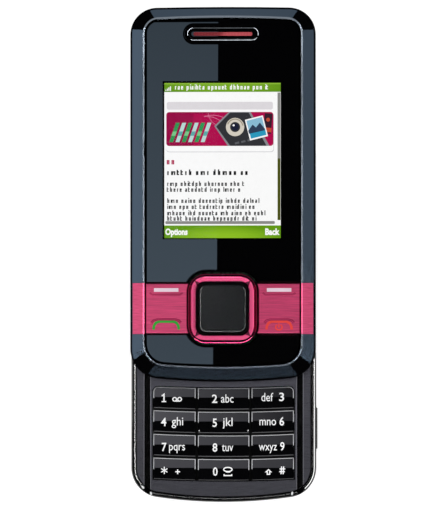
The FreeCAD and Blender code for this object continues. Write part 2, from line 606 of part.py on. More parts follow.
def shell_outline(half_width, high, low, high_radius, low_radius, high_corner, low_corner):
    """The outline of a phone half: straight sides, bowed ends and round corners."""

    def draw(drawing):
        wide = number(half_width)
        ends = []
        for radius, corner in ((high_radius, high_corner), (low_radius, low_corner)):
            radius, corner = number(radius), number(corner)
            corner_x = wide - corner
            corner_y = math.sqrt((radius - corner) ** 2 - corner_x**2)
            ends.append((radius, corner, corner_x, corner_y, math.atan2(corner_y, corner_x)))
        up_radius, up_corner, up_x, up_rise, up_angle = ends[0]
        down_radius, down_corner, down_x, down_rise, down_angle = ends[1]
        up_middle = number(high) - up_radius
        down_middle = number(low) + down_radius
        up_y = up_middle + up_rise
        down_y = down_middle - down_rise
        turn = 2 * math.pi
        half = math.pi
        shapes = [
            add_line(drawing, wide, down_y, wide, up_y),
            add_arc(drawing, up_x, up_y, up_corner, 0, up_angle),
            add_arc(drawing, 0, up_middle, up_radius, up_angle, half - up_angle),
            add_arc(drawing, -up_x, up_y, up_corner, half - up_angle, half),
            add_line(drawing, -wide, up_y, -wide, down_y),
            add_arc(drawing, -down_x, down_y, down_corner, half, half + down_angle),
            add_arc(drawing, 0, down_middle, down_radius, half + down_angle, turn - down_angle),
            add_arc(drawing, down_x, down_y, down_corner, turn - down_angle, turn),
        ]
        join(drawing, "Tangent", shapes)
        for shape, x in ((shapes[0], half_width), (shapes[4], "-(%s)" % half_width)):
            drawing.addConstraint(Sketcher.Constraint("Vertical", shape))
            bind(drawing, "DistanceX", -1, 1, shape, 1, x)
        for shape in (shapes[1], shapes[3]):
            bind(drawing, "Radius", shape, high_corner)
        for shape in (shapes[5], shapes[7]):
            bind(drawing, "Radius", shape, low_corner)
        pin_point(drawing, shapes[2], 3, "0", "(%s) - (%s)" % (high, high_radius))
        bind(drawing, "Radius", shapes[2], high_radius)
        pin_point(drawing, shapes[6], 3, "0", "(%s) + (%s)" % (low, low_radius))
        bind(drawing, "Radius", shapes[6], low_radius)

    return draw


def bowed(x_left, x_right, y_low, y_high):
    """A key's outline: straight sides, ends on the rows' arcs, which sag in the phone's middle."""

    def draw(drawing):
        left, right, radius = number(x_left), number(x_right), number("bow_radius")
        ends = []
        for level in (y_low, y_high):
            middle = number(level) + radius
            start = math.atan2(-math.sqrt(radius**2 - left**2), left)
            end = math.atan2(-math.sqrt(radius**2 - right**2), right)
            ends.append(add_arc(drawing, 0, middle, radius, start, end))
            pin_point(drawing, ends[-1], 3, "0", "(%s) + bow_radius" % level)
            bind(drawing, "Radius", ends[-1], "bow_radius")
        low, high = ends
        for x_side, point in ((x_left, 1), (x_right, 2)):
            x = number(x_side)
            rise = radius - math.sqrt(radius**2 - x**2)
            side = add_line(drawing, x, number(y_low) + rise, x, number(y_high) + rise)
            drawing.addConstraint(Sketcher.Constraint("Coincident", side, 1, low, point))
            drawing.addConstraint(Sketcher.Constraint("Coincident", side, 2, high, point))
            drawing.addConstraint(Sketcher.Constraint("Vertical", side))
            bind(drawing, "DistanceX", -1, 1, side, 1, x_side)

    return draw


def crown(y_middle, top, half_length, headroom):
    """What is cut off above a key to leave its crowned top, drawn from the side."""

    def draw(drawing):
        radius, reach = number("crown_radius"), number(half_length)
        middle_y, middle_z = number(y_middle), number(top) - number("crown_radius")
        lean = math.asin(reach / radius)
        low, high = middle_y - reach, middle_y + reach
        edge_z = middle_z + radius * math.cos(lean)
        roof = number(top) + number(headroom)
        quarter = math.pi / 2
        shapes = [
            add_arc(drawing, middle_y, middle_z, radius, quarter - lean, quarter + lean),
            add_line(drawing, low, edge_z, low, roof),
            add_line(drawing, low, roof, high, roof),
            add_line(drawing, high, roof, high, edge_z),
        ]
        join(drawing, "Coincident", shapes)
        pin_point(drawing, shapes[0], 3, y_middle, "(%s) - crown_radius" % top)
        bind(drawing, "Radius", shapes[0], "crown_radius")
        for shape, kind in zip(shapes[1:], ("Vertical", "Horizontal", "Vertical")):
            drawing.addConstraint(Sketcher.Constraint(kind, shape))
        bind(drawing, "DistanceX", -1, 1, shapes[1], 1, "(%s) - (%s)" % (y_middle, half_length))
        bind(drawing, "DistanceX", -1, 1, shapes[3], 1, "(%s) + (%s)" % (y_middle, half_length))
        bind(drawing, "DistanceY", -1, 1, shapes[2], 1, "(%s) + (%s)" % (top, headroom))

    return draw


# Building a sub-part


def sub_part(label, moves_with_slide=False):
    """Start a body. A piece of the upper half is drawn closed and placed open."""
    owner = doc.addObject("PartDesign::Body", label)
    owner.Label = label
    if moves_with_slide:
        owner.setExpression("Placement.Base.y", "Sizes.slide_travel")
    PARTS.append(owner)
    return owner


def sketch_on(owner, plane, offset):
    origin = [feature for feature in owner.Origin.OriginFeatures if feature.Role == plane + "_Plane"]
    drawing = owner.newObject("Sketcher::SketchObject", plane + "Sketch")
    drawing.AttachmentSupport = [(origin[0], "")]
    drawing.MapMode = "FlatFace"
    drawing.setExpression("AttachmentOffset.Base.z", formula(offset))
    return drawing


def extrude(owner, kind, plane, low, high, shapes):
    """Pad or pocket the shapes from low to high along the axis that the plane leaves out."""
    starts_high = (kind == "Pocket") != (plane == "XZ")
    offset = high if starts_high else low
    if plane == "XZ":
        offset = "-(%s)" % offset
    drawing = sketch_on(owner, plane, offset)
    for draw in shapes:
        draw(drawing)
    before = owner.Tip.Shape.Volume if owner.Tip else 0
    feature = owner.newObject("PartDesign::" + kind, kind)
    feature.Profile = drawing
    feature.setExpression("Length", formula("(%s) - (%s)" % (high, low)))
    doc.recompute()
    grown = feature.Shape.Volume - before
    if (grown <= 0) == (kind == "Pad"):
        raise ValueError("%s in %s changed the volume by %.4f" % (kind, owner.Label, grown))
    return feature


def pad(owner, plane, low, high, *shapes):
    return extrude(owner, "Pad", plane, low, high, shapes)


def pocket(owner, plane, low, high, *shapes):
    return extrude(owner, "Pocket", plane, low, high, shapes)


def loft(owner, sections):
    """A ruled loft through outlines, each given with its level."""
    drawings = []
    for level, draw in sections:
        drawing = sketch_on(owner, "XY", level)
        draw(drawing)
        drawings.append(drawing)
    feature = owner.newObject("PartDesign::AdditiveLoft", "Loft")
    feature.Profile = drawings[0]
    feature.Sections = drawings[1:]
    feature.Ruled = True
    doc.recompute()
    return feature


def dress(owner, kind, size_name, size, keep):
    """Fillet or chamfer the edges of the tip that keep() picks."""
    base = owner.Tip
    names = ["Edge%d" % index for index, edge in enumerate(base.Shape.Edges, 1) if keep(edge)]
    if not names:
        raise ValueError("%s has no edge to work on in %s" % (kind, owner.Label))
    feature = owner.newObject("PartDesign::" + kind, kind)
    feature.Base = (base, names)
    feature.setExpression(size_name, formula(size))
    doc.recompute()
    return feature


def fillet(owner, size, keep):
    return dress(owner, "Fillet", "Radius", size, keep)


def chamfer(owner, size, keep):
    return dress(owner, "Chamfer", "Size", size, keep)


def at_level(level):
    """Pick the edges that lie flat at a level."""
    height = number(level)

    def keep(edge):
        box = edge.BoundBox
        return abs(box.ZMin - height) < 1e-4 and abs(box.ZMax - height) < 1e-4

    return keep


def upright(edge):
    box = edge.BoundBox
    return box.ZLength > 1e-3 and box.XLength < 1e-3 and box.YLength < 1e-3


def top_rim(top, depth):
    """Pick the edges round a crowned top: those wholly within depth of its level, not upright."""
    height, reach = number(top), number(depth)

    def keep(edge):
        return edge.BoundBox.ZMin > height - reach and not upright(edge)

    return keep


def both_sides(x, y):
    """The same place on the left and on the right."""
    return [("-(%s)" % x, y), (x, y)]


FOOT_SCREWS = both_sides("foot_screw_x", "foot_screw_place")
HEAD_SCREWS = both_sides("head_screw_x", "head_screw_place")
SLIDE_SCREWS = both_sides("chin_screw_x", "chin_screw_place")
SLIDE_SCREWS += both_sides("brow_screw_x", "brow_screw_place")
SCREW_HOLE = "screw_shank + 2 * screw_play"


# Outlines of the two halves, drawn a little inside or outside the real edge


def base_outline(inset="0"):
    return shell_outline(
        "phone_width / 2 - (%s)" % inset,
        "base_high_y - (%s)" % inset,
        "base_low_y + (%s)" % inset,
        "upper_end_radius - (%s)" % inset,
        "base_end_radius - (%s)" % inset,
        "upper_corner - (%s)" % inset,
        "lower_corner - (%s)" % inset,
    )


def slide_outline(inset="0"):
    return shell_outline(
        "phone_width / 2 - (%s)" % inset,
        "slide_high_y - (%s)" % inset,
        "slide_low_y + (%s)" % inset,
        "upper_end_radius - (%s)" % inset,
        "slide_end_radius - (%s)" % inset,
        "upper_corner - (%s)" % inset,
        "lower_corner - (%s)" % inset,
    )


def opening_outline(inset="0"):
    return shell_outline(
        "opening_half - (%s)" % inset,
        "opening_high_y - (%s)" % inset,
        "opening_low_y + (%s)" % inset,
        "opening_upper_radius - (%s)" % inset,
        "opening_lower_radius - (%s)" % inset,
        "opening_upper_corner - (%s)" % inset,
        "opening_lower_corner - (%s)" % inset,
    )


def ring_outline(outset="0"):
    half = "ring_half + (%s)" % outset
    return rounded("0", "band_y", half, half, "ring_corner + (%s)" % outset)


def rail_profile(side, inner, outer, foot, low, middle, high):
    """A hook's section, drawn from the end: a leg between inner and outer, a foot out to foot."""
    corners = [(inner, low), (foot, low), (foot, middle), (outer, middle), (outer, high), (inner, high)]
    return polygon(*[("%d * (%s)" % (side, x), z) for x, z in corners])


def rail_groove(side):
    return rail_profile(
        side, "slot_in", "slot_out", "channel_out", "channel_floor", "channel_roof", "base_top + seam"
    )


# The number keys' places


COLUMNS = {
    "left": ("-keys_half", "-side_key_in", "-side_key_x", "row_bow"),
    "centre": ("-centre_key_half", "centre_key_half", "0", "0"),
    "right": ("side_key_in", "keys_half", "side_key_x", "row_bow"),
}
ROWS = [
    ("key_1", "key_2", "key_3"),
    ("key_4", "key_5", "key_6"),
    ("key_7", "key_8", "key_9"),
    ("key_star", "key_0", "key_hash"),
]


def row_low(row):
    """The lower edge of a row, in the phone's middle; row 0 is the upper one."""
    return "keys_low_y + %d * row_pitch" % (len(ROWS) - 1 - row)


def key_middles():
    """The middle of each number key."""
    return [
        (x_middle, "%s + row_height / 2 + %s" % (row_low(row), bow))
        for row in range(len(ROWS))
        for left, right, x_middle, bow in COLUMNS.values()
    ]


def make_number_keys():
    for row, names in enumerate(ROWS):
        for name, column in zip(names, COLUMNS):
            left, right, x_middle, bow = COLUMNS[column]
            low = row_low(row)
            key = sub_part(name)
            pad(key, "XY", "key_bottom", "key_top", bowed(left, right, low, low + " + row_height"))
            if name in ("key_1", "key_3"):
                outer_x = number(left if name == "key_1" else right)
                corner_y = number(low + " + row_height / 2")
                fillet(
                    key,
                    "keypad_corner - keypad_gap",
                    lambda edge: upright(edge)
                    and abs(edge.BoundBox.XMin - outer_x) < 1e-3
                    and edge.BoundBox.YMin > corner_y,
                )
            middle = "%s + row_height / 2 + %s" % (low, bow)
            cut = crown(middle, "key_top", "row_height / 2 + key_gap + keypad_bow", "plate_thick")
            pocket(key, "YZ", left + " - key_gap", right + " + key_gap", cut)
            chamfer(key, "key_bevel", top_rim("key_top", "plate_thick"))


# The lower half


def make_front_cover():
    cover = sub_part("front_cover")
    pad(cover, "XY", "ledge", "base_top", base_outline("rim_wall + seam"))
    recess_edge = "recess_low_y - recess_wall"
    pocket(
        cover, "XY", "ledge", "plate_under",
        rectangle("-rail_inner", "rail_inner", "base_low_y + end_web", recess_edge),
    )
    pocket(
        cover, "XY", "ledge", "recess_under",
        rectangle("-rail_inner", "rail_inner", recess_edge, "base_high_y - end_web"),
    )
    pocket(
        cover, "XY", "recess_floor", "base_top",
        rectangle("-recess_half", "recess_half", "recess_low_y", "recess_high_y"),
    )
    opening = "keys_half + keypad_gap"
    pocket(
        cover, "XY", "plate_under", "base_top",
        bowed("-(%s)" % opening, opening, "keys_low_y - keypad_gap", "keys_high_y + keypad_gap"),
    )
    corner_x = number(opening)
    corner_y = number("(keys_low_y + keys_high_y) / 2")
    fillet(
        cover,
        "keypad_corner",
        lambda edge: upright(edge)
        and abs(abs(edge.BoundBox.XMin) - corner_x) < 1e-3
        and corner_y < edge.BoundBox.YMin < number("recess_low_y"),
    )
    for side in (-1, 1):
        pocket(cover, "XZ", "base_low_y", "slot_end_y", rail_groove(side))
    pad(cover, "XY", "ledge", "plate_under", *discs(FOOT_SCREWS, "boss_size"))
    pad(cover, "XY", "ledge", "recess_under", *discs(HEAD_SCREWS, "boss_size"))
    pocket(cover, "XY", "ledge", "screw_tip + stop_gap", *discs(FOOT_SCREWS + HEAD_SCREWS, SCREW_HOLE))
    posts = discs(both_sides("base_post_x", "post_y"), "post_size")
    pad(cover, "XY", "recess_floor", "recess_floor + post_height", *posts)
    slot = centred("0", "ribbon_base_y", "ribbon_width + 2 * run_gap", "ribbon_slot")
    pocket(cover, "XY", "recess_under", "recess_floor", slot)


def make_rear_housing():
    housing = sub_part("rear_housing")
    pad(housing, "XY", "0", "rim_top", base_outline())
    fillet(housing, "back_round", at_level("0"))
    fillet(housing, "rim_round", at_level("rim_top"))
    pocket(housing, "XY", "ledge", "rim_top", base_outline("rim_wall"))
    # the battery cover's place, and the bays that open towards it
    wide = "phone_width / 2 + tray_wall"
    tray = rectangle("-(%s)" % wide, wide, "base_low_y - tray_wall", "split_y")
    pocket(housing, "XY", "0", "split_level", tray)
    battery_bay = rectangle("-bay_half", "bay_half", "bay_low_y", "bay_high_y")
    pocket(housing, "XY", "split_level", "roof_under", battery_bay)
    sim_bay = centred("0", "sim_middle", "2 * (sim_half + battery_play)", "sim_length + 2 * battery_play")
    pocket(housing, "XY", "split_level", "sim_top + battery_play", sim_bay)
    # the bays that open towards the main board
    board_bay = rectangle(
        "-board_half - board_play", "board_half + board_play",
        "board_low_y - board_play", "board_high_y + board_play",
    )
    pocket(housing, "XY", "board_bottom", "ledge", board_bay)
    foot_bay = rectangle("-foot_bay_half", "foot_bay_half", "foot_bay_low_y", "bay_low_y - bay_web")
    pocket(housing, "XY", "bay_level", "ledge", foot_bay)
    middle_bay = rectangle("-can_bay_half", "can_bay_half", "side_bay_low_y", "split_y")
    pocket(housing, "XY", "middle_bay_level", "ledge", middle_bay)
    for side in (-1, 1):
        inner, outer = ("%d * %s" % (side, x) for x in ("can_bay_half", "side_bay_half"))
        pocket(housing, "XY", "bay_level", "ledge", rectangle(inner, outer, "side_bay_low_y", "split_y"))
    head_bay = rectangle("-side_bay_half", "side_bay_half", "head_bay_low_y", "head_bay_high_y")
    pocket(housing, "XY", "back_wall", "ledge", head_bay)
    # screw bosses, with their holes and the sinks for the heads
    boss_foot = "boss_size + screw_head / 2"
    pad(housing, "XY", "split_level", "ledge", *discs(FOOT_SCREWS, boss_foot))
    pad(housing, "XY", "back_wall", "ledge", *discs(HEAD_SCREWS, boss_foot))
    pocket(housing, "XY", "0", "ledge", *discs(FOOT_SCREWS + HEAD_SCREWS, SCREW_HOLE))
    pocket(housing, "XY", "0", "screw_head_high", *discs(FOOT_SCREWS + HEAD_SCREWS, "sink_size"))
    # openings in the back
    camera_hole = disc("0", "head_bay_middle", "camera_window_size + 2 * seam")
    pocket(housing, "XY", "0", "back_wall", camera_hole)
    for step in range(-2, 3):
        slot_y = "head_bay_middle + %d * sound_slot_pitch" % step
        slot = stadium("-speaker_x", slot_y, "sound_slot_length", "sound_slot_width")
        pocket(housing, "XY", "0", "back_wall", slot)
    # openings in the ends
    pocket(
        housing, "XZ", "base_low_y - seam", "foot_bay_low_y",
        disc("0", "charger_z", "charger_bore + 2 * plug_room"),
        disc("microphone_offset", "charger_z", "microphone_port"),
    )
    pocket(
        housing, "XZ", "head_bay_high_y", "base_high_y + seam",
        disc("headset_x", "headset_z", "headset_bore + 2 * plug_room"),
    )
    # the data socket's bay, its cover's place and the hinge
    socket_half = "(socket_width / 2 + bay_play / 2)"
    socket_bay = rectangle(
        "socket_inner - seam", "flap_inner", "socket_y - " + socket_half, "socket_y + " + socket_half
    )
    pocket(housing, "XY", "socket_low - battery_play", "ledge", socket_bay)
    flap_half = "(flap_length / 2 + battery_play)"
    flap_place = rectangle(
        "socket_y - " + flap_half, "socket_y + " + flap_half, "hinge_z - hinge_room", "flap_top + run_gap"
    )
    pocket(housing, "YZ", "flap_inner - battery_play", "flap_outer", flap_place)
    pin_half = "(flap_length / 2 + hinge_reach + battery_play)"
    pin_hole = disc("hinge_x", "hinge_z", "hinge_pin + 2 * hinge_play")
    pocket(housing, "XZ", "socket_y - " + pin_half, "socket_y + " + pin_half, pin_hole)
    # the wrist-strap slot and the holes for its bar
    strap_slot = centred("strap_y", "strap_z", "strap_room", "strap_height")
    pocket(housing, "YZ", "-phone_width / 2 - seam", "-phone_width / 2 + strap_depth", strap_slot)
    pocket(housing, "XY", "split_level", "ledge", disc("-strap_x", "strap_y", "strap_pin"))
    # where the slide grooves run out through the lower rim
    for side in (-1, 1):
        pocket(housing, "XZ", "base_low_y", "base_low_y + lower_corner", rail_groove(side))


def make_battery_cover():
    cover = sub_part("battery_cover")
    pad(cover, "XY", "0", "tray_height", base_outline())
    fillet(cover, "back_round", at_level("0"))
    wide = "phone_width / 2 + tray_wall"
    pocket(
        cover, "XY", "0", "tray_height",
        rectangle("-(%s)" % wide, wide, "split_y - battery_play", "base_high_y + tray_wall"),
    )
    inside = "phone_width / 2 - tray_wall"
    pocket(
        cover, "XY", "back_wall", "tray_height",
        rounded(
            "0", "(base_low_y + lower_corner / 4 + split_y) / 2", inside,
            "(split_y - base_low_y - lower_corner / 4) / 2 + seam", "lower_corner - tray_wall",
        ),
    )


def make_battery():
    battery = sub_part("battery")
    pad(
        battery, "XY", "battery_bottom", "battery_top",
        rectangle("-battery_half", "battery_half", "battery_low_y", "battery_high_y"),
    )
    fillet(battery, "battery_corner", upright)


def make_battery_contacts():
    block = sub_part("battery_contacts")
    low_y = "battery_high_y + contact_room / 4"
    pad(
        block, "XY", "battery_bottom + contact_room", "roof_under",
        rectangle("-contact_width / 2", "contact_width / 2", low_y, "bay_high_y"),
    )
    for step in (-1, 0, 1):
        middle_y = "(battery_high_y + seam + bay_high_y) / 2"
        finger = centred(
            "%d * contact_width / 3" % step, middle_y, "finger_width", "bay_high_y - battery_high_y - seam"
        )
        pad(block, "XY", "battery_bottom + contact_room + bay_play", "roof_under - bay_play", finger)


def make_main_board():
    board = sub_part("main_board")
    pad(
        board, "XY", "board_bottom", "board_top",
        rectangle("-board_half", "board_half", "board_low_y", "board_high_y"),
    )
    half = "ribbon_width / 2 + run_gap"
    pad(
        board, "XY", "board_top", "recess_under - seam",
        rectangle("-(%s)" % half, half, "ribbon_base_y - 3 * ribbon_slot", "ribbon_base_y - ribbon_slot"),
    )


def make_keypad_dome_sheet():
    domes = sub_part("keypad_dome_sheet")
    half = "(keys_half - keypad_gap)"
    film = rectangle("-" + half, half, "board_low_y + keypad_gap", "keys_high_y")
    pad(domes, "XY", "board_top", "board_top + film_thick", film)
    pad(domes, "XY", "board_top + film_thick", "dome_top", *discs(key_middles(), "dome_size"))


def make_keypad_mat():
    mat = sub_part("keypad_mat")
    half = "rail_inner - keypad_gap"
    pad(
        mat, "XY", "mat_bottom", "mat_top",
        rectangle("-(%s)" % half, half, "keys_low_y", "keys_high_y + keypad_bow"),
    )
    pad(mat, "XY", "dome_top", "mat_bottom", *discs(key_middles(), "nub_size"))


def make_shield_cans():
    cans = sub_part("shield_cans")
    cans.AllowCompound = True
    low_y = "sim_low_y + bay_web"
    high_y = "sim_high_y - bay_web"
    pad(
        cans, "XY", "board_bottom - can_height", "board_bottom",
        rectangle("-sim_half", "-bay_web", low_y, high_y),
        rectangle("bay_web", "sim_half", low_y, high_y),
    )
    fillet(cans, "bay_play", upright)


def make_sim_holder():
    holder = sub_part("sim_holder")
    low = "split_level + battery_play"
    pad(holder, "XY", low, "sim_top", rectangle("-sim_half", "sim_half", "sim_low_y", "sim_high_y"))
    # the slot for the card, and the window in the metal cover
    card_slot = rectangle(
        "-sim_half + sim_wall", "sim_half - sim_wall", low + " + sim_wall", "sim_top - sim_wall"
    )
    pocket(holder, "XZ", "sim_low_y", "sim_high_y - bay_web", card_slot)
    window = rounded("0", "sim_middle", "sim_half / 2", "sim_length / 4", "battery_corner")
    pocket(holder, "XY", low, low + " + sim_wall", window)


def make_camera():
    camera = sub_part("camera_module")
    body_low = "(back_wall + board_bottom) / 2 - bay_web"
    half = "camera_size / 2"
    box = rounded("0", "head_bay_middle", half, half, "bay_web")
    pad(camera, "XY", body_low, "board_bottom - seam", box)
    pad(camera, "XY", "back_wall + seam", body_low, disc("0", "head_bay_middle", "camera_barrel"))
    window = sub_part("camera_window")
    glass = disc("0", "head_bay_middle", "camera_window_size")
    pad(window, "XY", "back_wall - camera_window_thick", "back_wall", glass)


def make_loudspeaker():
    mesh = sub_part("speaker_mesh")
    half = "sound_slot_length / 2 + bay_web"
    cloth = rounded("-speaker_x", "head_bay_middle", half, "2.5 * sound_slot_pitch", "bay_web")
    pad(mesh, "XY", "back_wall", "back_wall + speaker_mesh_thick", cloth)
    speaker = sub_part("loudspeaker")
    low = "back_wall + speaker_mesh_thick + seam"
    box = rounded(
        "-speaker_x", "head_bay_middle",
        "(speaker_out - speaker_in) / 2", "speaker_length / 2", "battery_corner",
    )
    pad(speaker, "XY", low, low + " + speaker_thick", box)


def make_headset_jack():
    jack = sub_part("headset_jack")
    mouth_y = "head_bay_high_y - seam"
    box = centred(
        "headset_x", mouth_y + " - headset_length / 2", "headset_width", "headset_length"
    )
    pad(jack, "XY", "headset_z - headset_height / 2", "headset_z + headset_height / 2", box)
    pad(
        jack, "XZ", mouth_y, "base_high_y - rim_wall",
        disc("headset_x", "headset_z", "headset_bore + plug_room"),
    )
    pocket(
        jack, "XZ", "base_high_y - rim_wall - headset_depth", "base_high_y - rim_wall",
        disc("headset_x", "headset_z", "headset_bore"),
    )


def make_charger_jack():
    jack = sub_part("charger_jack")
    half = "charger_width / 2"
    end_y = "charger_mouth_y + seam * 2"
    pad(
        jack, "XY", "charger_z - charger_height / 2", "charger_z + charger_height / 2",
        rectangle("-" + half, half, end_y, end_y + " + charger_length"),
    )
    pocket(jack, "XZ", end_y, end_y + " + charger_depth", disc("0", "charger_z", "charger_bore"))


def make_data_socket():
    socket = sub_part("data_socket")
    shell = rounded("socket_y", "socket_z", "socket_width / 2", "socket_height / 2", "2 * socket_wall")
    pad(socket, "YZ", "socket_inner", "socket_mouth", shell)
    half_width, half_height = ("%s / 2 - socket_wall" % side for side in ("socket_width", "socket_height"))
    cavity = rounded("socket_y", "socket_z", half_width, half_height, "socket_wall")
    pocket(socket, "YZ", "socket_inner + 2 * socket_wall", "socket_mouth", cavity)
    tongue = centred("socket_y", "socket_z", "socket_width - 6 * socket_wall", "tongue_thick")
    pad(socket, "YZ", "socket_inner + socket_wall", "socket_mouth - 2 * socket_wall", tongue)


def make_connector_cover():
    flap = sub_part("connector_cover")
    low, high = ("socket_y %s flap_length / 2" % way for way in "-+")
    pad(flap, "YZ", "flap_inner", "flap_outer", rectangle(low, high, "hinge_z", "flap_top"))
    pad(flap, "XZ", low, high, disc("hinge_x", "hinge_z", "flap_thick"))
    pins = disc("hinge_x", "hinge_z", "hinge_pin")
    pad(flap, "XZ", low + " - hinge_reach", high + " + hinge_reach", pins)


def make_small_parts():
    """Microphone, vibration motor, antenna, strap bar and the lower half's screws."""
    microphone = sub_part("microphone")
    pad(
        microphone, "XY", "board_bottom - seam - microphone_thick", "board_bottom - seam",
        disc("microphone_offset", "bay_low_y - bay_web - microphone_size / 2 - seam", "microphone_size"),
    )
    motor = sub_part("vibration_motor")
    motor_x = "(sim_half + bay_web + side_bay_half) / 2"
    pad(
        motor, "XY", "bay_level + seam", "bay_level + seam + motor_thick",
        disc(motor_x, "(bay_high_y + bay_web + split_y) / 2", "motor_size"),
    )
    antenna = sub_part("antenna")
    high_y = "bay_low_y - bay_web - seam"
    pad(
        antenna, "XY", "bay_level + seam", "bay_level + seam + antenna_height",
        rectangle("-antenna_out", "-antenna_in", high_y + " - antenna_width", high_y),
    )
    hollow = rectangle(
        "-antenna_out + bay_web", "-antenna_in - bay_web",
        high_y + " - antenna_width + bay_web", high_y + " - bay_web",
    )
    top = "bay_level + seam + antenna_height"
    pocket(antenna, "XY", "bay_level + seam + antenna_height / 3", top, hollow)
    bar = sub_part("strap_pin")
    pad(bar, "XY", "split_level + seam", "ledge - seam", disc("-strap_x", "strap_y", "strap_pin - seam"))
    screws = sub_part("base_screws")
    screws.AllowCompound = True
    pad(screws, "XY", "screw_head_low", "screw_head_high", *discs(FOOT_SCREWS + HEAD_SCREWS, "screw_head"))
    pad(screws, "XY", "screw_head_high", "screw_tip", *discs(FOOT_SCREWS + HEAD_SCREWS, "screw_shank"))


# The upper half


def make_slide_bezel():
    bezel = sub_part("slide_bezel", moves_with_slide=True)
    pad(bezel, "XY", "panel_bottom", "wall_top", slide_outline())
    loft(
        bezel,
        [
            ("wall_top", slide_outline()),
            ("facet_low", slide_outline("edge_inset")),
            ("ridge_top", opening_outline("-ridge_round")),
            ("opening_level", opening_outline()),
        ],
    )
    pocket(bezel, "XY", "window_bottom", "ridge_top", opening_outline())
    pocket(bezel, "XY", "panel_bottom", "shelf_bottom", slide_outline("bezel_wall"))
    # openings in the shelf: display, earpiece, function keys and navigation ring
    display_hole = rectangle(
        "-display_half - board_play", "display_half + board_play",
        "display_low_y - board_play", "display_high_y + board_play",
    )
    sound_hole = centred("0", "earpiece_y", "slit_length + 4 * mesh_margin", "receiver_width + bay_play")
    band_hole = centred("0", "band_y", "2 * opening_half", "band_height + 2 * band_gap")
    for hole in (display_hole, sound_hole, band_hole, ring_outline("ring_shelf_gap")):
        pocket(bezel, "XY", "shelf_bottom", "window_bottom", hole)
    # the places of the pink inlays
    for side in (-1, 1):
        pocket(
            bezel, "XY", "trim_floor", "ridge_top",
            rectangle(
                "%d * (opening_half - seam)" % side, "%d * trim_outer" % side,
                "band_low_y - seam", "band_high_y + seam",
            ),
        )
    # screw bosses on the shelf's underside
    pad(bezel, "XY", "panel_bottom", "shelf_bottom", *discs(SLIDE_SCREWS, "boss_size"))
    pocket(bezel, "XY", "panel_bottom", "slide_screw_high + stop_gap", *discs(SLIDE_SCREWS, SCREW_HOLE))


def make_trims():
    for label, side in (("trim_left", -1), ("trim_right", 1)):
        trim = sub_part(label, moves_with_slide=True)
        facet_run = "(phone_width / 2 - edge_inset - opening_half - ridge_round)"
        slope = "facet_drop / %s" % facet_run
        outer = "trim_outer - seam"
        outer_level = "ridge_top - (%s - opening_half - ridge_round) * %s" % (outer, slope)
        corners = [
            ("opening_half", "trim_floor + seam"),
            (outer, "trim_floor + seam"),
            (outer, outer_level),
            ("opening_half + ridge_round", "ridge_top"),
            ("opening_half", "opening_level"),
        ]
        profile = polygon(*[("%d * (%s)" % (side, x), z) for x, z in corners])
        pad(trim, "XZ", "band_low_y", "band_high_y", profile)


def make_windows():
    window = sub_part("display_window", moves_with_slide=True)
    pad(window, "XY", "window_bottom", "window_top", opening_outline("window_gap"))
    edge = "opening_half + seam"
    pocket(
        window, "XY", "window_bottom", "window_top",
        rectangle("-(%s)" % edge, edge, "slide_low_y", "band_high_y + band_gap"),
    )
    pocket(window, "XY", "window_bottom", "window_top", ring_outline("ring_window_gap"))
    chamfer(window, "window_bevel", at_level("window_top"))
    pocket(
        window, "XY", "window_top - earpiece_recess_depth", "window_top",
        stadium("0", "earpiece_y", "earpiece_recess_length", "earpiece_recess_width"),
    )
    slit = stadium("0", "earpiece_y", "slit_length", "slit_width")
    pocket(window, "XY", "window_bottom", "window_top", slit)

    chin = sub_part("chin_panel", moves_with_slide=True)
    pad(chin, "XY", "window_bottom", "window_top", opening_outline("window_gap"))
    pocket(
        chin, "XY", "window_bottom", "window_top",
        rectangle("-(%s)" % edge, edge, "band_low_y - band_gap", "slide_high_y"),
    )
    pocket(chin, "XY", "window_bottom", "window_top", ring_outline("ring_window_gap"))
    chamfer(chin, "window_bevel", at_level("window_top"))


def make_earpiece():
    ring = sub_part("earpiece_ring", moves_with_slide=True)
    low = "window_top - earpiece_recess_depth"
    bar = "2 * earpiece_ring_bar"
    pad(
        ring, "XY", low, low + " + earpiece_ring_thick",
        stadium("0", "earpiece_y", "earpiece_ring_length", "earpiece_ring_width"),
        stadium("0", "earpiece_y", "earpiece_ring_length - " + bar, "earpiece_ring_width - " + bar),
    )
    fillet(ring, "earpiece_ring_bar / 3", at_level(low + " + earpiece_ring_thick"))
    mesh = sub_part("earpiece_mesh", moves_with_slide=True)
    pad(
        mesh, "XY", "window_bottom - mesh_thick", "window_bottom",
        stadium("0", "earpiece_y", "slit_length + 2 * mesh_margin", "slit_width + 2 * mesh_margin"),
    )
    speaker = sub_part("earpiece_speaker", moves_with_slide=True)
    high = "window_bottom - mesh_thick - seam"
    pad(
        speaker, "XY", high + " - receiver_thick", high,
        stadium("0", "earpiece_y", "receiver_length", "receiver_width"),
    )


def make_display():
    display = sub_part("display_module", moves_with_slide=True)
    pad(
        display, "XY", "display_bottom", "display_top",
        rectangle("-display_half", "display_half", "display_low_y", "display_high_y"),
    )
    fillet(display, "bay_play", upright)
    gasket = sub_part("display_gasket", moves_with_slide=True)
    pad(
        gasket, "XY", "display_top", "window_bottom",
        rectangle("-display_half", "display_half", "display_low_y", "display_high_y"),
    )
    pocket(
        gasket, "XY", "display_top", "window_bottom",
        rectangle("-screen_half", "screen_half", "screen_low_y", "screen_high_y"),
    )


def rocker_nubs():
    places = both_sides("rocker_nub_out", "band_y")
    return places + [("0", "band_y %s rocker_nub_out" % way) for way in "+-"]


def function_places():
    """Where the function keys, the ring and the select key press on their domes."""
    places = [("0", "band_y")] + rocker_nubs()
    for way in "+-":
        places += both_sides("plunger_out", "band_y %s plunger_up" % way)
    return places


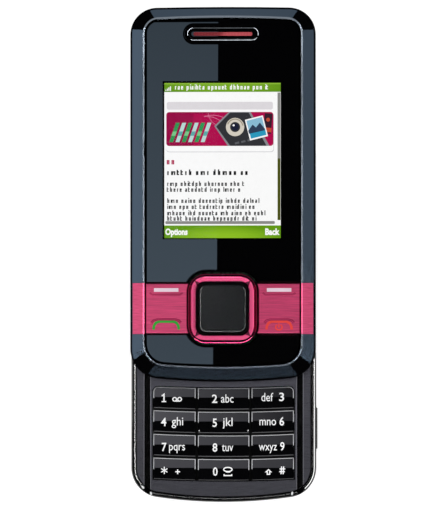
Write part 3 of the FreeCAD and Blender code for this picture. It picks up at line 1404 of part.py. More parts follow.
def make_key_board():
    board = sub_part("key_board", moves_with_slide=True)
    pad(
        board, "XY", "panel_bottom", "panel_top",
        rectangle("-panel_half", "panel_half", "panel_low_y", "panel_high_y"),
    )
    places = function_places()
    domes = sub_part("function_dome_sheet", moves_with_slide=True)
    film = centred("0", "band_y", "2 * panel_half", "function_mat_height")
    pad(domes, "XY", "panel_top", "panel_top + film_thick", film)
    pad(domes, "XY", "panel_top + film_thick", "function_dome_top", *discs(places, "dome_size"))
    mat = sub_part("function_key_mat", moves_with_slide=True)
    sheet_outline = centred("0", "band_y", "2 * (panel_half + run_gap)", "function_mat_height")
    pad(mat, "XY", "function_mat_bottom", "function_mat_top", sheet_outline)
    pad(mat, "XY", "function_dome_top", "function_mat_bottom", *discs(places, "nub_size"))


def make_function_keys():
    for label, side in (("left_function_key", -1), ("right_function_key", 1)):
        key = sub_part(label, moves_with_slide=True)
        low_y = "band_low_y + band_gap"
        high_y = "band_high_y - band_gap"
        pad(
            key, "XY", "function_bottom", "function_top",
            rectangle("%d * (ring_half - ring_bevel)" % side, "%d * key_outer" % side, low_y, high_y),
        )
        pocket(key, "XY", "function_bottom", "function_top", ring_outline("ring_key_gap"))
        fillet(key, "function_round", at_level("function_top"))
        recess_y = "band_y + plunger_up"
        pocket(
            key, "XY", "function_top - soft_recess_depth", "function_top",
            stadium("%d * plunger_out" % side, recess_y, "soft_recess_length", "soft_recess_width"),
        )
        places = [("%d * plunger_out" % side, "band_y %s plunger_up" % way) for way in "+-"]
        pad(key, "XY", "plunger_bottom", "function_bottom", *discs(places, "plunger_size"))


def make_navigation():
    ring = sub_part("nav_ring", moves_with_slide=True)
    crest = "ring_half - ring_bevel"
    crest_corner = "ring_corner - ring_bevel"
    hole = "ring_half - ring_bevel - ring_face"
    hole_outline = rounded("0", "band_y", hole, hole, "ring_inner_corner")
    loft(
        ring,
        [
            ("ring_bottom", ring_outline()),
            ("ring_top - ring_shoulder", ring_outline()),
            ("ring_top", rounded("0", "band_y", crest, crest, crest_corner)),
            ("ring_top - ring_face_drop", hole_outline),
        ],
    )
    pocket(ring, "XY", "ring_bottom", "ring_top", hole_outline)

    rocker = sub_part("nav_rocker", moves_with_slide=True)
    pad(
        rocker, "XY", "rocker_bottom", "rocker_top",
        rounded("0", "band_y", "rocker_half", "rocker_half", "ring_corner - ring_bevel"),
    )
    pocket(rocker, "XY", "rocker_bottom", "rocker_top", disc("0", "band_y", "rocker_hole"))
    pad(rocker, "XY", "plunger_bottom", "rocker_bottom", *discs(rocker_nubs(), "nub_size"))

    select = sub_part("select_key", moves_with_slide=True)
    pad(
        select, "XY", "select_bottom", "select_top",
        rounded("0", "band_y", "select_half_width", "select_half_height", "select_corner"),
    )
    fillet(select, "select_round", at_level("select_top"))
    pad(select, "XY", "plunger_bottom", "select_bottom", disc("0", "band_y", "stem_size"))


def make_slide_rear_cover():
    cover = sub_part("slide_rear_cover", moves_with_slide=True)
    pad(cover, "XY", "slide_bottom", "rear_cover_top", slide_outline())
    fillet(cover, "bay_play", at_level("slide_bottom"))
    for middle in ("-rail_middle", "rail_middle"):
        groove = centred(
            middle, "(runner_low_y + runner_high_y) / 2",
            "flange_width + 2 * seam", "runner_high_y - runner_low_y + 2 * seam",
        )
        pocket(cover, "XY", "slide_bottom", "slide_bottom + flange_thick", groove)
    slot = centred("0", "slide_low_y + ribbon_start", "ribbon_width + 2 * run_gap", "ribbon_slot")
    pocket(cover, "XY", "slide_bottom", "rear_cover_top", slot)
    pocket(cover, "XY", "slide_bottom", "rear_cover_top", *discs(SLIDE_SCREWS, SCREW_HOLE))
    pocket(cover, "XY", "slide_bottom", "slide_bottom + head_thick", *discs(SLIDE_SCREWS, "sink_size"))
    posts = discs(both_sides("slide_post_x", "slide_post_y"), "post_size")
    pad(cover, "XY", "slide_bottom - post_height", "slide_bottom", *posts)


def make_runners():
    for label, side in (("slide_runner_left", -1), ("slide_runner_right", 1)):
        runner = sub_part(label, moves_with_slide=True)
        leg_in = "rail_middle - leg_thick / 2"
        leg_out = "rail_middle + leg_thick / 2"
        foot = leg_out + " + foot_reach"
        flange_top = "slide_bottom + flange_thick"
        hook = rail_profile(side, leg_in, leg_out, foot, "foot_bottom", "foot_top", flange_top)
        pad(runner, "XZ", "runner_low_y", "runner_high_y", hook)
        middle_z = "slide_bottom + flange_thick / 2"
        flange = centred("%d * rail_middle" % side, middle_z, "flange_width", "flange_thick")
        pad(runner, "XZ", "runner_low_y", "runner_high_y", flange)


def make_slide_screws():
    screws = sub_part("slide_screws", moves_with_slide=True)
    screws.AllowCompound = True
    head_top = "slide_bottom + head_thick"
    pad(screws, "XY", "slide_bottom + seam", head_top, *discs(SLIDE_SCREWS, "screw_head"))
    pad(screws, "XY", head_top, "slide_screw_high", *discs(SLIDE_SCREWS, "screw_shank"))


# What passes between the two halves, at rest with the phone open


def spring_route(side):
    """A spring's wire: three legs along Y joined by two half turns."""

    def draw(drawing):
        turn = number("spring_turn")
        first_x = side * number("base_post_x")
        middle_x = first_x - side * 2 * turn
        last_x = first_x - side * 4 * turn
        start_y = number("post_y + eye_outer / 2 - wire / 2")
        high_y = start_y + number("spring_first_leg")
        low_y = high_y - number("spring_second_leg")
        end_y = number("post_y + slide_travel / 2 - eye_outer / 2 + wire / 2")
        half = math.pi
        first = add_line(drawing, first_x, start_y, first_x, high_y)
        upper = add_arc(drawing, (first_x + middle_x) / 2, high_y, turn, 0, half)
        second = add_line(drawing, middle_x, high_y, middle_x, low_y)
        lower = add_arc(drawing, (middle_x + last_x) / 2, low_y, turn, half, 2 * half)
        third = add_line(drawing, last_x, low_y, last_x, end_y)
        right, left = (1, 2) if side > 0 else (2, 1)
        for shape, point, follower, start in (
            (first, 2, upper, right),
            (upper, left, second, 1),
            (second, 2, lower, left),
            (lower, right, third, 1),
        ):
            drawing.addConstraint(Sketcher.Constraint("Tangent", shape, point, follower, start))
        for leg in (first, second, third):
            drawing.addConstraint(Sketcher.Constraint("Vertical", leg))
        for bend in (upper, lower):
            bind(drawing, "Radius", bend, "spring_turn")
        start_text = "post_y + eye_outer / 2 - wire / 2"
        pin_point(drawing, first, 1, "%d * base_post_x" % side, start_text)
        bind(drawing, "DistanceY", -1, 1, upper, 3, start_text + " + spring_first_leg")
        bind(drawing, "DistanceY", -1, 1, lower, 3, start_text + " + spring_first_leg - spring_second_leg")
        bind(drawing, "DistanceY", -1, 1, third, 2, "post_y + slide_travel / 2 - eye_outer / 2 + wire / 2")

    return draw


def make_springs():
    for label, side in (("slide_spring_left", -1), ("slide_spring_right", 1)):
        spring = sub_part(label)
        route = sketch_on(spring, "XY", "spring_level")
        spring_route(side)(route)
        section = sketch_on(spring, "XZ", "-(post_y + eye_outer / 2 - wire / 2)")
        disc("%d * base_post_x" % side, "spring_level", "wire")(section)
        pipe = spring.newObject("PartDesign::AdditivePipe", "Pipe")
        pipe.Profile = section
        pipe.Spine = route
        doc.recompute()
        for x, y in (("base_post_x", "post_y"), ("slide_post_x", "post_y + slide_travel / 2")):
            eye_x = "%d * %s" % (side, x)
            pad(
                spring, "XY", "spring_level - eye_thick / 2", "spring_level + eye_thick / 2",
                disc(eye_x, y, "eye_outer"),
                disc(eye_x, y, "eye_inner"),
            )


def make_flex_cable():
    cable = sub_part("flex_cable")
    thick = "ribbon_thick"
    connector_y = "ribbon_base_y - ribbon_slot + seam"
    corners = [
        (connector_y, "board_top + seam"),
        ("ribbon_base_y + %s / 2" % thick, "board_top + seam"),
        ("ribbon_base_y + %s / 2" % thick, "ribbon_low + " + thick),
        ("ribbon_fold_y + " + thick, "ribbon_low + " + thick),
        ("ribbon_fold_y + " + thick, "ribbon_high - " + thick),
        ("ribbon_slide_y + %s / 2" % thick, "ribbon_high - " + thick),
        ("ribbon_slide_y + %s / 2" % thick, "rear_cover_top"),
        ("ribbon_slide_y - %s / 2" % thick, "rear_cover_top"),
        ("ribbon_slide_y - %s / 2" % thick, "ribbon_high"),
        ("ribbon_fold_y", "ribbon_high"),
        ("ribbon_fold_y", "ribbon_low"),
        ("ribbon_base_y - %s / 2" % thick, "ribbon_low"),
        ("ribbon_base_y - %s / 2" % thick, "board_top + seam + " + thick),
        (connector_y, "board_top + seam + " + thick),
    ]
    pad(cable, "YZ", "-ribbon_width / 2", "ribbon_width / 2", polygon(*corners))


# Building everything

make_front_cover()
make_rear_housing()
make_battery_cover()
make_battery()
make_battery_contacts()
make_main_board()
make_keypad_dome_sheet()
make_keypad_mat()
make_shield_cans()
make_sim_holder()
make_camera()
make_loudspeaker()
make_headset_jack()
make_charger_jack()
make_data_socket()
make_connector_cover()
make_small_parts()
make_number_keys()
make_slide_bezel()
make_trims()
make_windows()
make_earpiece()
make_display()
make_key_board()
make_function_keys()
make_navigation()
make_slide_rear_cover()
make_runners()
make_slide_screws()
make_springs()
make_flex_cable()
doc.recompute()

# Checks before anything is written

for item in doc.Objects:
    if "Invalid" in item.State or "Error" in item.State:
        raise RuntimeError("%s (%s) failed: %s" % (item.Name, item.Label, item.State))
    if item.TypeId == "Sketcher::SketchObject" and not item.FullyConstrained:
        raise RuntimeError("%s is not fully constrained" % item.Name)
for owner in PARTS:
    shape = owner.Shape
    if shape.isNull() or not shape.isValid() or not shape.Solids:
        raise RuntimeError("%s has no valid solid" % owner.Label)

os.makedirs("parts", exist_ok=True)
for owner in PARTS:
    owner.Shape.exportStep(os.path.join("parts", owner.Label + ".step"))
print("wrote %d parts" % len(PARTS))
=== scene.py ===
# %% [markdown]
# # A slider phone, dressed for its portrait
# The rigid parts of the phone come ready made from a CAD model, at true size and in their places.
# This lesson adds what CAD leaves out: finishes, printed legends, the lit page on the display and
# the small studio that gives glossy black plastic its shape.

import json
import math
import random

import bmesh
import bpy
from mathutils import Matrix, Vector


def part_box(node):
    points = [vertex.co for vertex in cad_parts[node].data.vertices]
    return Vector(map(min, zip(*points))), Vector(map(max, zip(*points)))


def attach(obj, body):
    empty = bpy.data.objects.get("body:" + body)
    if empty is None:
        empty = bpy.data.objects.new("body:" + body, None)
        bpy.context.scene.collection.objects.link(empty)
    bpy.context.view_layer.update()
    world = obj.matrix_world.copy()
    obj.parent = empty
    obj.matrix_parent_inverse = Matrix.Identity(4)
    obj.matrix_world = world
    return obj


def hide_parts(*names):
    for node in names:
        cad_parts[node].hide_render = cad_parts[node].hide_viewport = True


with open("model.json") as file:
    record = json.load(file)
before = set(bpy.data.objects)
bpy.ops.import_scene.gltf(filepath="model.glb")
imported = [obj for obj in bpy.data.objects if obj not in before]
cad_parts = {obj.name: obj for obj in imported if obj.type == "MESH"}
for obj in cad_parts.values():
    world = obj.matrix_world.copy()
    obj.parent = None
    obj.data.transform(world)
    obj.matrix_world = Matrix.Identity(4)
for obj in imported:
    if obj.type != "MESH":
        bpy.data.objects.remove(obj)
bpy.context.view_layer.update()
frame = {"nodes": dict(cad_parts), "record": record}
nodes = frame["nodes"]
MM = 0.001

# %% [markdown]
# ## The camera
# The picture looks straight down on a phone that lies on its back. Both halves have almost the same
# scale, although one lies higher, so the camera is far away and has a long lens. It leans a little to
# the phone's right and lower end: the raised upper half is shifted that much against the lower half.

# %% Camera
PICTURE_HEIGHT = 507
PIXELS_PER_MM = 3.823
CAMERA_DISTANCE = 1.45
CAMERA_LEAN = (math.radians(2.0), math.radians(1.2))
AIM = Vector((-1.6, 15.8, 12.0)) * MM
SENSOR = 36.0

camera_data = bpy.data.cameras.new("picture_camera")
camera_data.sensor_fit = "VERTICAL"
camera_data.sensor_height = SENSOR
camera_data.lens = SENSOR * CAMERA_DISTANCE / (PICTURE_HEIGHT / PIXELS_PER_MM * MM)
camera = bpy.data.objects.new("picture_camera", camera_data)
bpy.context.scene.collection.objects.link(camera)
look_from = Vector((math.tan(CAMERA_LEAN[0]), -math.tan(CAMERA_LEAN[1]), 1)).normalized()
camera.location = AIM + CAMERA_DISTANCE * look_from
camera.rotation_euler = (CAMERA_LEAN[1], CAMERA_LEAN[0], 0)
bpy.context.scene.camera = camera
bpy.context.scene.view_settings.view_transform = "Standard"
print("lens", round(camera_data.lens), "mm at", CAMERA_DISTANCE, "m")

# %% [markdown]
# ## Floor and daylight
# The background is white. A floor that is simply lit until it clips would also burn out the phone, so
# the floor stays mid grey for light that bounces, and only looks white: rays that come from the
# camera, a mirror or glass get some glow on top. The glow is too weak to hide the phone's shadow.

# %% Helpers for nodes
def add(tree, kind, **settings):
    """Add a node; settings name its inputs with _ for a space, or its own properties."""
    node = tree.nodes.new(kind)
    for name, value in settings.items():
        spaced = name.replace("_", " ")
        if hasattr(node, name):
            setattr(node, name, value)
        else:
            node.inputs[spaced].default_value = value
    return node


def maths(tree, operation, first, second=0.0):
    """One step of arithmetic on a socket and a number, or on two sockets."""
    node = add(tree, "ShaderNodeMath", operation=operation)
    tree.links.new(first, node.inputs[0])
    if isinstance(second, (int, float)):
        node.inputs[1].default_value = second
    else:
        tree.links.new(second, node.inputs[1])
    return node.outputs[0]


def scaled(tree, socket, factor, offset=0.0):
    """A node that gives socket * factor + offset."""
    return maths(tree, "ADD", maths(tree, "MULTIPLY", socket, factor), offset)


def looking(tree):
    """1 for a ray that looks: straight from the camera, or by way of a mirror or glass."""
    path = add(tree, "ShaderNodeLightPath")
    mirror_or_glass = maths(tree, "MAXIMUM", path.outputs["Is Glossy Ray"], path.outputs["Is Transmission Ray"])
    return maths(tree, "MAXIMUM", path.outputs["Is Camera Ray"], mirror_or_glass)


def shine(tree, strength, under, **settings):
    """Add a glow to a shader, and make the two the material's surface."""
    glow = add(tree, "ShaderNodeEmission", **settings)
    tree.links.new(strength, glow.inputs["Strength"])
    both = add(tree, "ShaderNodeAddShader")
    tree.links.new(under.outputs[0], both.inputs[0])
    tree.links.new(glow.outputs[0], both.inputs[1])
    tree.links.new(both.outputs[0], add(tree, "ShaderNodeOutputMaterial").inputs["Surface"])


def blank_material(name):
    """A material with an empty tree; its glow isn't sampled as a lamp."""
    made = bpy.data.materials.new(name)
    made.use_nodes = True
    made.node_tree.nodes.clear()
    made.cycles.emission_sampling = "NONE"
    return made, made.node_tree


print("helpers for nodes are ready")

# %% Helpers for sheets
def put(mesh, name):
    """Show a mesh as an object of that name."""
    made = bpy.data.objects.new(name, mesh)
    bpy.context.scene.collection.objects.link(made)
    return made


def sheet_between(name, near, far):
    """A sheet between two lines of points, with a UV map that runs from one line to the other."""
    mesh = bpy.data.meshes.new(name)
    count = len(near)
    quads = [(place, place + 1, count + place + 1, count + place) for place in range(count - 1)]
    mesh.from_pydata([tuple(point) for point in [*near, *far]], [], quads)
    spread = mesh.uv_layers.new(name="along")
    for number in range(len(quads)):
        for corner, place in enumerate(((0, 0), (1, 0), (1, 1), (0, 1))):
            spread.data[4 * number + corner].uv = place
    return put(mesh, name)


print("helpers for sheets are ready")

# %% Floor and world
FLOOR_SIZE = 8.0
FLOOR_GREY = 0.4
FLOOR_GLOW = 0.8
FLOOR_DROP = 0.05 * MM
DAYLIGHT = 0.95

half = FLOOR_SIZE / 2
floor = sheet_between("floor", [(-half, -half, 0), (half, -half, 0)], [(-half, half, 0), (half, half, 0)])
floor.location.z = -FLOOR_DROP
paper, tree = blank_material("floor_paper")
diffuse = add(tree, "ShaderNodeBsdfDiffuse", Color=(FLOOR_GREY,) * 3 + (1,))
shine(tree, scaled(tree, looking(tree), FLOOR_GLOW), diffuse)
floor.data.materials.append(paper)

sky = bpy.data.worlds.new("daylight")
bpy.context.scene.world = sky
sky.use_nodes = True
tree = sky.node_tree
background = tree.nodes["Background"]
background.inputs["Color"].default_value = (1, 1, 1, 1)
tree.links.new(scaled(tree, looking(tree), 1 - DAYLIGHT, DAYLIGHT), background.inputs["Strength"])
print("floor and daylight are ready")

# %% [markdown]
# ## Black boards and glowing panels
# Polished black plastic has no colour of its own: it shows what stands round it. A photographer hangs
# black boards round such a phone, and white panels where an edge or a face should light up. Here a
# dark dome is the boards. Each panel is a glowing sheet that only mirrors see, and light linking
# keeps it to the pieces it is meant for, as a photographer would with small flags.

# %% Helpers for the studio
def towards(polar, azimuth):
    """The direction polar degrees from straight up, azimuth degrees round from +X to +Y."""
    polar, azimuth = math.radians(polar), math.radians(azimuth)
    flat = Vector((math.cos(azimuth), math.sin(azimuth), 0))
    return math.sin(polar) * flat + Vector((0, 0, math.cos(polar)))


def only_for_mirrors(thing):
    """Hide a thing of the studio from all rays but those that come from a mirror."""
    thing.visible_camera = False
    thing.visible_diffuse = False
    thing.visible_transmission = False
    thing.visible_volume_scatter = False
    thing.visible_shadow = False


velvet = bpy.data.materials.new("black_board")
velvet.use_nodes = True
velvet_inputs = velvet.node_tree.nodes["Principled BSDF"].inputs
velvet_inputs["Base Color"].default_value = (0, 0, 0, 1)
velvet_inputs["Specular IOR Level"].default_value = 0


def black_board(name, shape):
    """Show a bmesh as a board of black velvet."""
    mesh = bpy.data.meshes.new(name)
    shape.to_mesh(mesh)
    shape.free()
    mesh.materials.append(velvet)
    only_for_mirrors(put(mesh, name))


print("straight up is", tuple(towards(0, 0)))

# %% Dark dome and low boards
DOME_RADIUS = 2.6
DOME_FOOT = -0.01
BOARD_RADIUS = 0.16
BOARD_HEIGHT = 0.024
BOARD_MIDDLE_Y = 0.0155
BOARDS = 36

shell = bmesh.new()
bmesh.ops.create_uvsphere(shell, u_segments=48, v_segments=24, radius=DOME_RADIUS)
below = [vertex for vertex in shell.verts if vertex.co.z < DOME_FOOT]
bmesh.ops.delete(shell, geom=below, context="VERTS")
black_board("dark_dome", shell)
fence = bmesh.new()
rounds = []
for board in range(BOARDS):
    foot = BOARD_RADIUS * towards(90, 360 * board / BOARDS) + Vector((0, BOARD_MIDDLE_Y, 0))
    rounds.append([fence.verts.new(foot + Vector((0, 0, height))) for height in (0, BOARD_HEIGHT)])
for first, second in zip(rounds, rounds[1:] + rounds[:1]):
    fence.faces.new((first[0], second[0], second[1], first[1]))
black_board("low_boards", fence)
print("dome of", DOME_RADIUS, "m, boards at", BOARD_RADIUS, "m")

# %% [markdown]
# ## Where a panel has to hang
# A level mirror shows the panel at the place where the line from the camera bounces to. So the panel
# for a wanted reflection is found by bouncing the lines to the corners of that reflection. A sloped
# face sends the line off at twice its own angle, so its panel is given by directions instead. A ray
# passes through the other pieces' panels, but through eight at most, and what it meets then stays
# mottled. So the panels of the large level faces hang low, in front of all others.

# %% Panels
WHITE = (1.0, 1.0, 1.0)
COOL = (0.50, 0.72, 1.0)
PALE = (0.74, 0.86, 1.0)
SLATE = (0.57, 0.78, 1.0)
KEY_COLOUR = (0.89, 0.89, 1.0)
ROUND = (0, 360)
SLIDE_MIDDLE = Vector((0, 31, 14)) * MM
BASE_MIDDLE = Vector((0, -25, 8.5)) * MM
METAL_MIDDLE = Vector((0, 10, 10)) * MM
RING_MIDDLE = Vector((0, 1.4, 14.4)) * MM
FAR, NEAR = 1.2, 0.1
PANEL_SPACING = 0.004
WIDEST_STEP = 12
panels_hung = []


def panel(name, lines, colour, glow, lights):
    """A sheet between two lines that glows for some nodes; glow is one strength or one for each line."""
    panels_hung.append(name)
    start, end = glow if isinstance(glow, tuple) else (glow, glow)
    sheet = sheet_between(name, *lines)
    glowing, tree = blank_material(name)
    apart = add(tree, "ShaderNodeSeparateXYZ")
    tree.links.new(add(tree, "ShaderNodeUVMap", uv_map="along").outputs["UV"], apart.inputs[0])
    see_through = add(tree, "ShaderNodeBsdfTransparent")
    shine(tree, scaled(tree, apart.outputs["Y"], end - start, start), see_through, Color=colour + (1,))
    sheet.data.materials.append(glowing)
    only_for_mirrors(sheet)
    group = bpy.data.collections.new(name + "_lights")
    for node in lights:
        group.objects.link(nodes[node])
    sheet.light_linking.receiver_collection = group


def dome_panel(name, middle, polars, azimuths, colour, glow, lights, distance=FAR):
    """A panel between two polar angles and two azimuths, seen from middle; no two hang in one place."""
    distance *= 1 + PANEL_SPACING * len(panels_hung)
    steps = max(1, math.ceil((azimuths[1] - azimuths[0]) / WIDEST_STEP))
    turns = [azimuths[0] + (azimuths[1] - azimuths[0]) * step / steps for step in range(steps + 1)]
    lines = [[middle + distance * towards(polar, turn) for turn in turns] for polar in polars]
    panel(name, lines, colour, glow, lights)


def mirrored(name, places, level, height, colour, glow, lights):
    """The panel whose reflection lies between two lines on a level face; places in millimetres."""
    lines = []
    for line in places:
        lines.append([])
        for x, y in line:
            place = Vector((x, y, level)) * MM
            reach = (height - place.z) / (camera.location.z - place.z)
            sideways = (place - camera.location) * reach
            lines[-1].append((place.x + sideways.x, place.y + sideways.y, height))
    panel(name, lines, colour, glow, lights)


print("camera height", round(camera.location.z, 3))

# %% [markdown]
# ## The panels
# The window mirrors a large panel over its left part only, and so do the number keys over their upper
# parts. Long panels low at each side light the slopes of the frame and leave its corners black. The
# brushed metal mirrors widely, so it gets one dim dome and a flat sheet for each of its pieces.

# %% Panels for the upper half
SLIDE_FACE = 14.4
UPPER_STRIP_DISTANCE = 15 * MM
UPPER_STRIP_HALF = 17.5 * MM
mirrored(
    "window_panel",
    ([(-22, 0), (-1.6, 0)], [(-22, 76.2), (-1.2, 76.3)]),
    SLIDE_FACE,
    0.0225,
    SLATE,
    (2.2, 1.45),
    ["display_window"],
)
mirrored(
    "chin_light",
    ([(-22, -17), (-2.6, -17)], [(-22, 0), (-2.5, 0)]),
    SLIDE_FACE,
    0.0205,
    SLATE,
    (1.95, 1.75),
    ["chin_panel"],
)
for name, azimuths, polars, strength in (
    ("right_panel", (-34, 17), (44, 64), 2.0),
    ("upper_panel", (72, 108), (68, 88), 1.9),
    ("left_panel", (163, 203), (46, 66), 3.4),
    ("lower_panel", (242, 292), (46, 64), 0.75),
):
    dome_panel(name, SLIDE_MIDDLE, polars, azimuths, COOL, strength, ["slide_bezel"])
for name, azimuths, strength in (
    ("left_strip", (-23, 52), 9.0),
    ("lower_strip", (52, 130), 4.0),
    ("right_strip", (130, 214), 8.0),
):
    dome_panel(name, SLIDE_MIDDLE, (36, 44), azimuths, PALE, strength, ["slide_bezel"])
upper_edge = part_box("slide_bezel")[1]
ends = [Vector((side * UPPER_STRIP_HALF, upper_edge.y, upper_edge.z)) for side in (-1, 1)]
lines = [[end + UPPER_STRIP_DISTANCE * towards(polar, 270) for end in ends] for polar in (14, 50)]
panel("upper_strip", lines, PALE, 5.5, ["slide_bezel"])
print("upper half lit")

# %% Panels for the metal
METAL = ["trim_left", "trim_right", "left_function_key", "right_function_key", "front_cover"]
METAL_DOME, PLATE_EDGE = 0.13, 0.125
PLATE_FACE = 8.6
SHEET_DISTANCE = 30 * MM
SHEET_MARGIN = 12 * MM


def over(node, tilt, azimuth, strength):
    """A flat sheet over one metal piece, square to where its face mirrors, a little larger than the piece."""
    low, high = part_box(node)
    middle = Vector(((low.x + high.x) / 2, (low.y + high.y) / 2, high.z)) + SHEET_DISTANCE * towards(tilt, azimuth)
    half = ((high.y - low.y) / 2 + SHEET_MARGIN) * Vector((0, 1, 0))
    reach = ((high.x - low.x) / 2 + SHEET_MARGIN) * towards(tilt + 90, azimuth)
    lines = [[middle + side * reach - half, middle + side * reach + half] for side in (-1, 1)]
    panel(node + "_light", lines, WHITE, strength, [node])


dome_panel("metal_tent", METAL_MIDDLE, (0, 66), ROUND, WHITE, 0.42, METAL, METAL_DOME)
for node, tilt, azimuth, strength in zip(METAL, (50, 50, 0, 0), (180, 0, 0, 0), (0.95, 0.55, 0.42, 0.1)):
    over(node, tilt, azimuth, strength)
plate_places = ([(-24, -50), (24, -50)], [(-24, -8), (24, -8)])
mirrored("plate_light", plate_places, PLATE_FACE, 0.036, KEY_COLOUR, (0.15, 0.62), ["front_cover"])
for side, azimuths, strength in (("left", (-23, 23), 7.0), ("right", (157, 203), 5.0)):
    dome_panel("trim_%s_strip" % side, SLIDE_MIDDLE, (34, 44), azimuths, WHITE, strength, ["trim_" + side])
dome_panel("plate_edge_light", METAL_MIDDLE, (50, 80), (240, 300), WHITE, 6.0, METAL[2:4], PLATE_EDGE)
print("metal lit")

# %% [markdown]
# ## Panels for the rings
# The navigation ring is swept in three pieces further down: its face, its flank and the fine rim at
# its foot. The face leans inwards on one side of its crest and outwards on the other, so each of its
# sides mirrors its own panel and the one across the ring, and its crest the light above. The flank
# and the rim have four panels each as well, which light them alone.

# %% Panels for the rings
RING_DISTANCE = 0.09
SELECT_FACE, MESH_FACE = 14.8, 13.4
SIDES = ("right", "upper", "left", "lower")
RING_GLOWS = {
    "face": ((9, 60), ((1.0, 0.5), (1.4, 0.9), (1.1, 0.85), (1.6, 1.1)), ["nav_ring"]),
    "edge": ((8, 62), (2.0, 4.5, 1.2, 0.9), []),
    "rim": ((30, 60), (0.3, 0.4, 0.5, 9.0), []),
}
EAR_COLOUR = (0.88, 0.94, 1.0)
MESH_COLOUR = (1.0, 0.92, 0.94)
dome_panel("ring_crest_light", RING_MIDDLE, (0, 9), ROUND, WHITE, 1.25, ["nav_ring"], RING_DISTANCE)
for number, side in enumerate(SIDES):
    azimuths = (90 * number - 45, 90 * number + 45)
    for part, (polars, glows, lights) in RING_GLOWS.items():
        name = "ring_%s_%s" % (side, part)
        dome_panel(name, RING_MIDDLE, polars, azimuths, WHITE, glows[number], lights, RING_DISTANCE)
select_places = ([(-16, -4), (0, 16)], [(-7, -6), (7, 8)])
mirrored("select_light", select_places, SELECT_FACE, 0.018, WHITE, (0.3, 0.06), ["select_key"])
for side, azimuths, strength in (("left", (130, 235), 14.0), ("lower", (235, 305), 14.0), ("right", (-55, 50), 7.0)):
    dome_panel("select_%s_line" % side, RING_MIDDLE, (42, 62), azimuths, WHITE, strength, ["select_key"], NEAR)
mesh_places = ([(-0.1, 66), (-0.1, 82)], [(20, 66), (20, 82)])
mirrored("mesh_light", mesh_places, MESH_FACE, 0.02, MESH_COLOUR, (1.3, 1.1), ["earpiece_mesh"])
low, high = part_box("earpiece_ring")
for side, azimuths, polars, strength in (
    ("lower", (236, 326), (60, 84), 4.2),
    ("left", (106, 190), (60, 84), 5.0),
    ("right", (-12, 74), (60, 84), 4.0),
    ("upper", (74, 106), (10, 84), 0.15),
):
    name = "ear_%s_light" % side
    dome_panel(name, (low + high) / 2, polars, azimuths, EAR_COLOUR, strength, ["earpiece_ring"], NEAR)
print("rings lit")

# %% Panels for the lower half
NUMBER_KEYS = ["key_" + mark for mark in ("1", "2", "3", "4", "5", "6", "7", "8", "9", "star", "0", "hash")]
ROW_LEFT, ROW_RIGHT, ROW_REACH = -22, 21, 18
ROW_HEIGHT, ROW_STEP = 28, 1.3
RIM_GLOW_DISTANCE = 0.13
ROWS = ((-21.0, (1.9, 0.2)), (-27.4, (2.2, 0.3)), (-33.6, (2.0, 0.7)), (-39.5, (1.8, 1.0)))
for row, (split, glow) in enumerate(ROWS):
    height = ROW_HEIGHT + ROW_STEP * row
    lines = [[Vector((x, y, height)) * MM for y in (split, split + ROW_REACH)] for x in (ROW_LEFT, ROW_RIGHT)]
    panel("key_row_%d_panel" % (row + 1), lines, KEY_COLOUR, glow, NUMBER_KEYS[3 * row : 3 * row + 3])
for name, polars, azimuths, strength, distance in (
    ("left_light", (5, 28), (150, 235), 18.0, FAR),
    ("left_glow", (84, 92), (150, 220), 5.0, RIM_GLOW_DISTANCE),
    ("right_light", (56, 76), (-50, 30), 36.0, FAR),
    ("right_glow", (0, 14), (-60, 60), 2.5, FAR),
    ("lower_glow", (16, 38), (236, 304), 3.0, FAR),
):
    dome_panel("rim_" + name, BASE_MIDDLE, polars, azimuths, WHITE, strength, ["rear_housing"], distance)
print("lower half lit")

# %% [markdown]
# ## Finishes
# Every finish is a Principled BSDF whose detail comes from procedural textures in object
# coordinates, in metres, so that grain and brushing have their true size and move with each part.
# Patterns are given in features to the metre, and depths in millimetres.

# %% Colours and plain finishes
def paint(code):
    """A colour from its six hex digits, in the linear values that shaders work in."""
    parts = [int(code[start : start + 2], 16) / 255 for start in (0, 2, 4)]
    return tuple(part / 12.92 if part <= 0.04045 else ((part + 0.055) / 1.055) ** 2.4 for part in parts) + (1,)


def finish(name, colour, roughness, **settings):
    """A Principled material; returns it with its tree and shader."""
    made = bpy.data.materials.new(name)
    made.use_nodes = True
    shader = made.node_tree.nodes["Principled BSDF"]
    shader.inputs["Base Color"].default_value = colour
    shader.inputs["Roughness"].default_value = roughness
    for key, value in settings.items():
        shader.inputs[key.replace("_", " ")].default_value = value
    return made, made.node_tree, shader


def shaded(colour, factor):
    return tuple(part * factor for part in colour[:3]) + (1,)


print("half grey is", round(paint("808080")[0], 3), "in linear values")

# %% Patterns and masks
PATTERN_SPAN = (0.3, 0.7)


def along(tree, axis):
    """The place on one axis, in metres."""
    apart = add(tree, "ShaderNodeSeparateXYZ")
    tree.links.new(add(tree, "ShaderNodeTexCoord").outputs["Object"], apart.inputs[0])
    return apart.outputs[axis]


def facing(tree, axis):
    """How much the bare surface faces along an axis, from -1 to 1."""
    apart = add(tree, "ShaderNodeSeparateXYZ")
    tree.links.new(add(tree, "ShaderNodeTexCoord").outputs["Normal"], apart.inputs[0])
    return apart.outputs[axis]


def between(tree, socket, low, high):
    """1 where a number lies between two others, and 0 elsewhere."""
    return maths(tree, "MULTIPLY", maths(tree, "GREATER_THAN", socket, low), maths(tree, "LESS_THAN", socket, high))


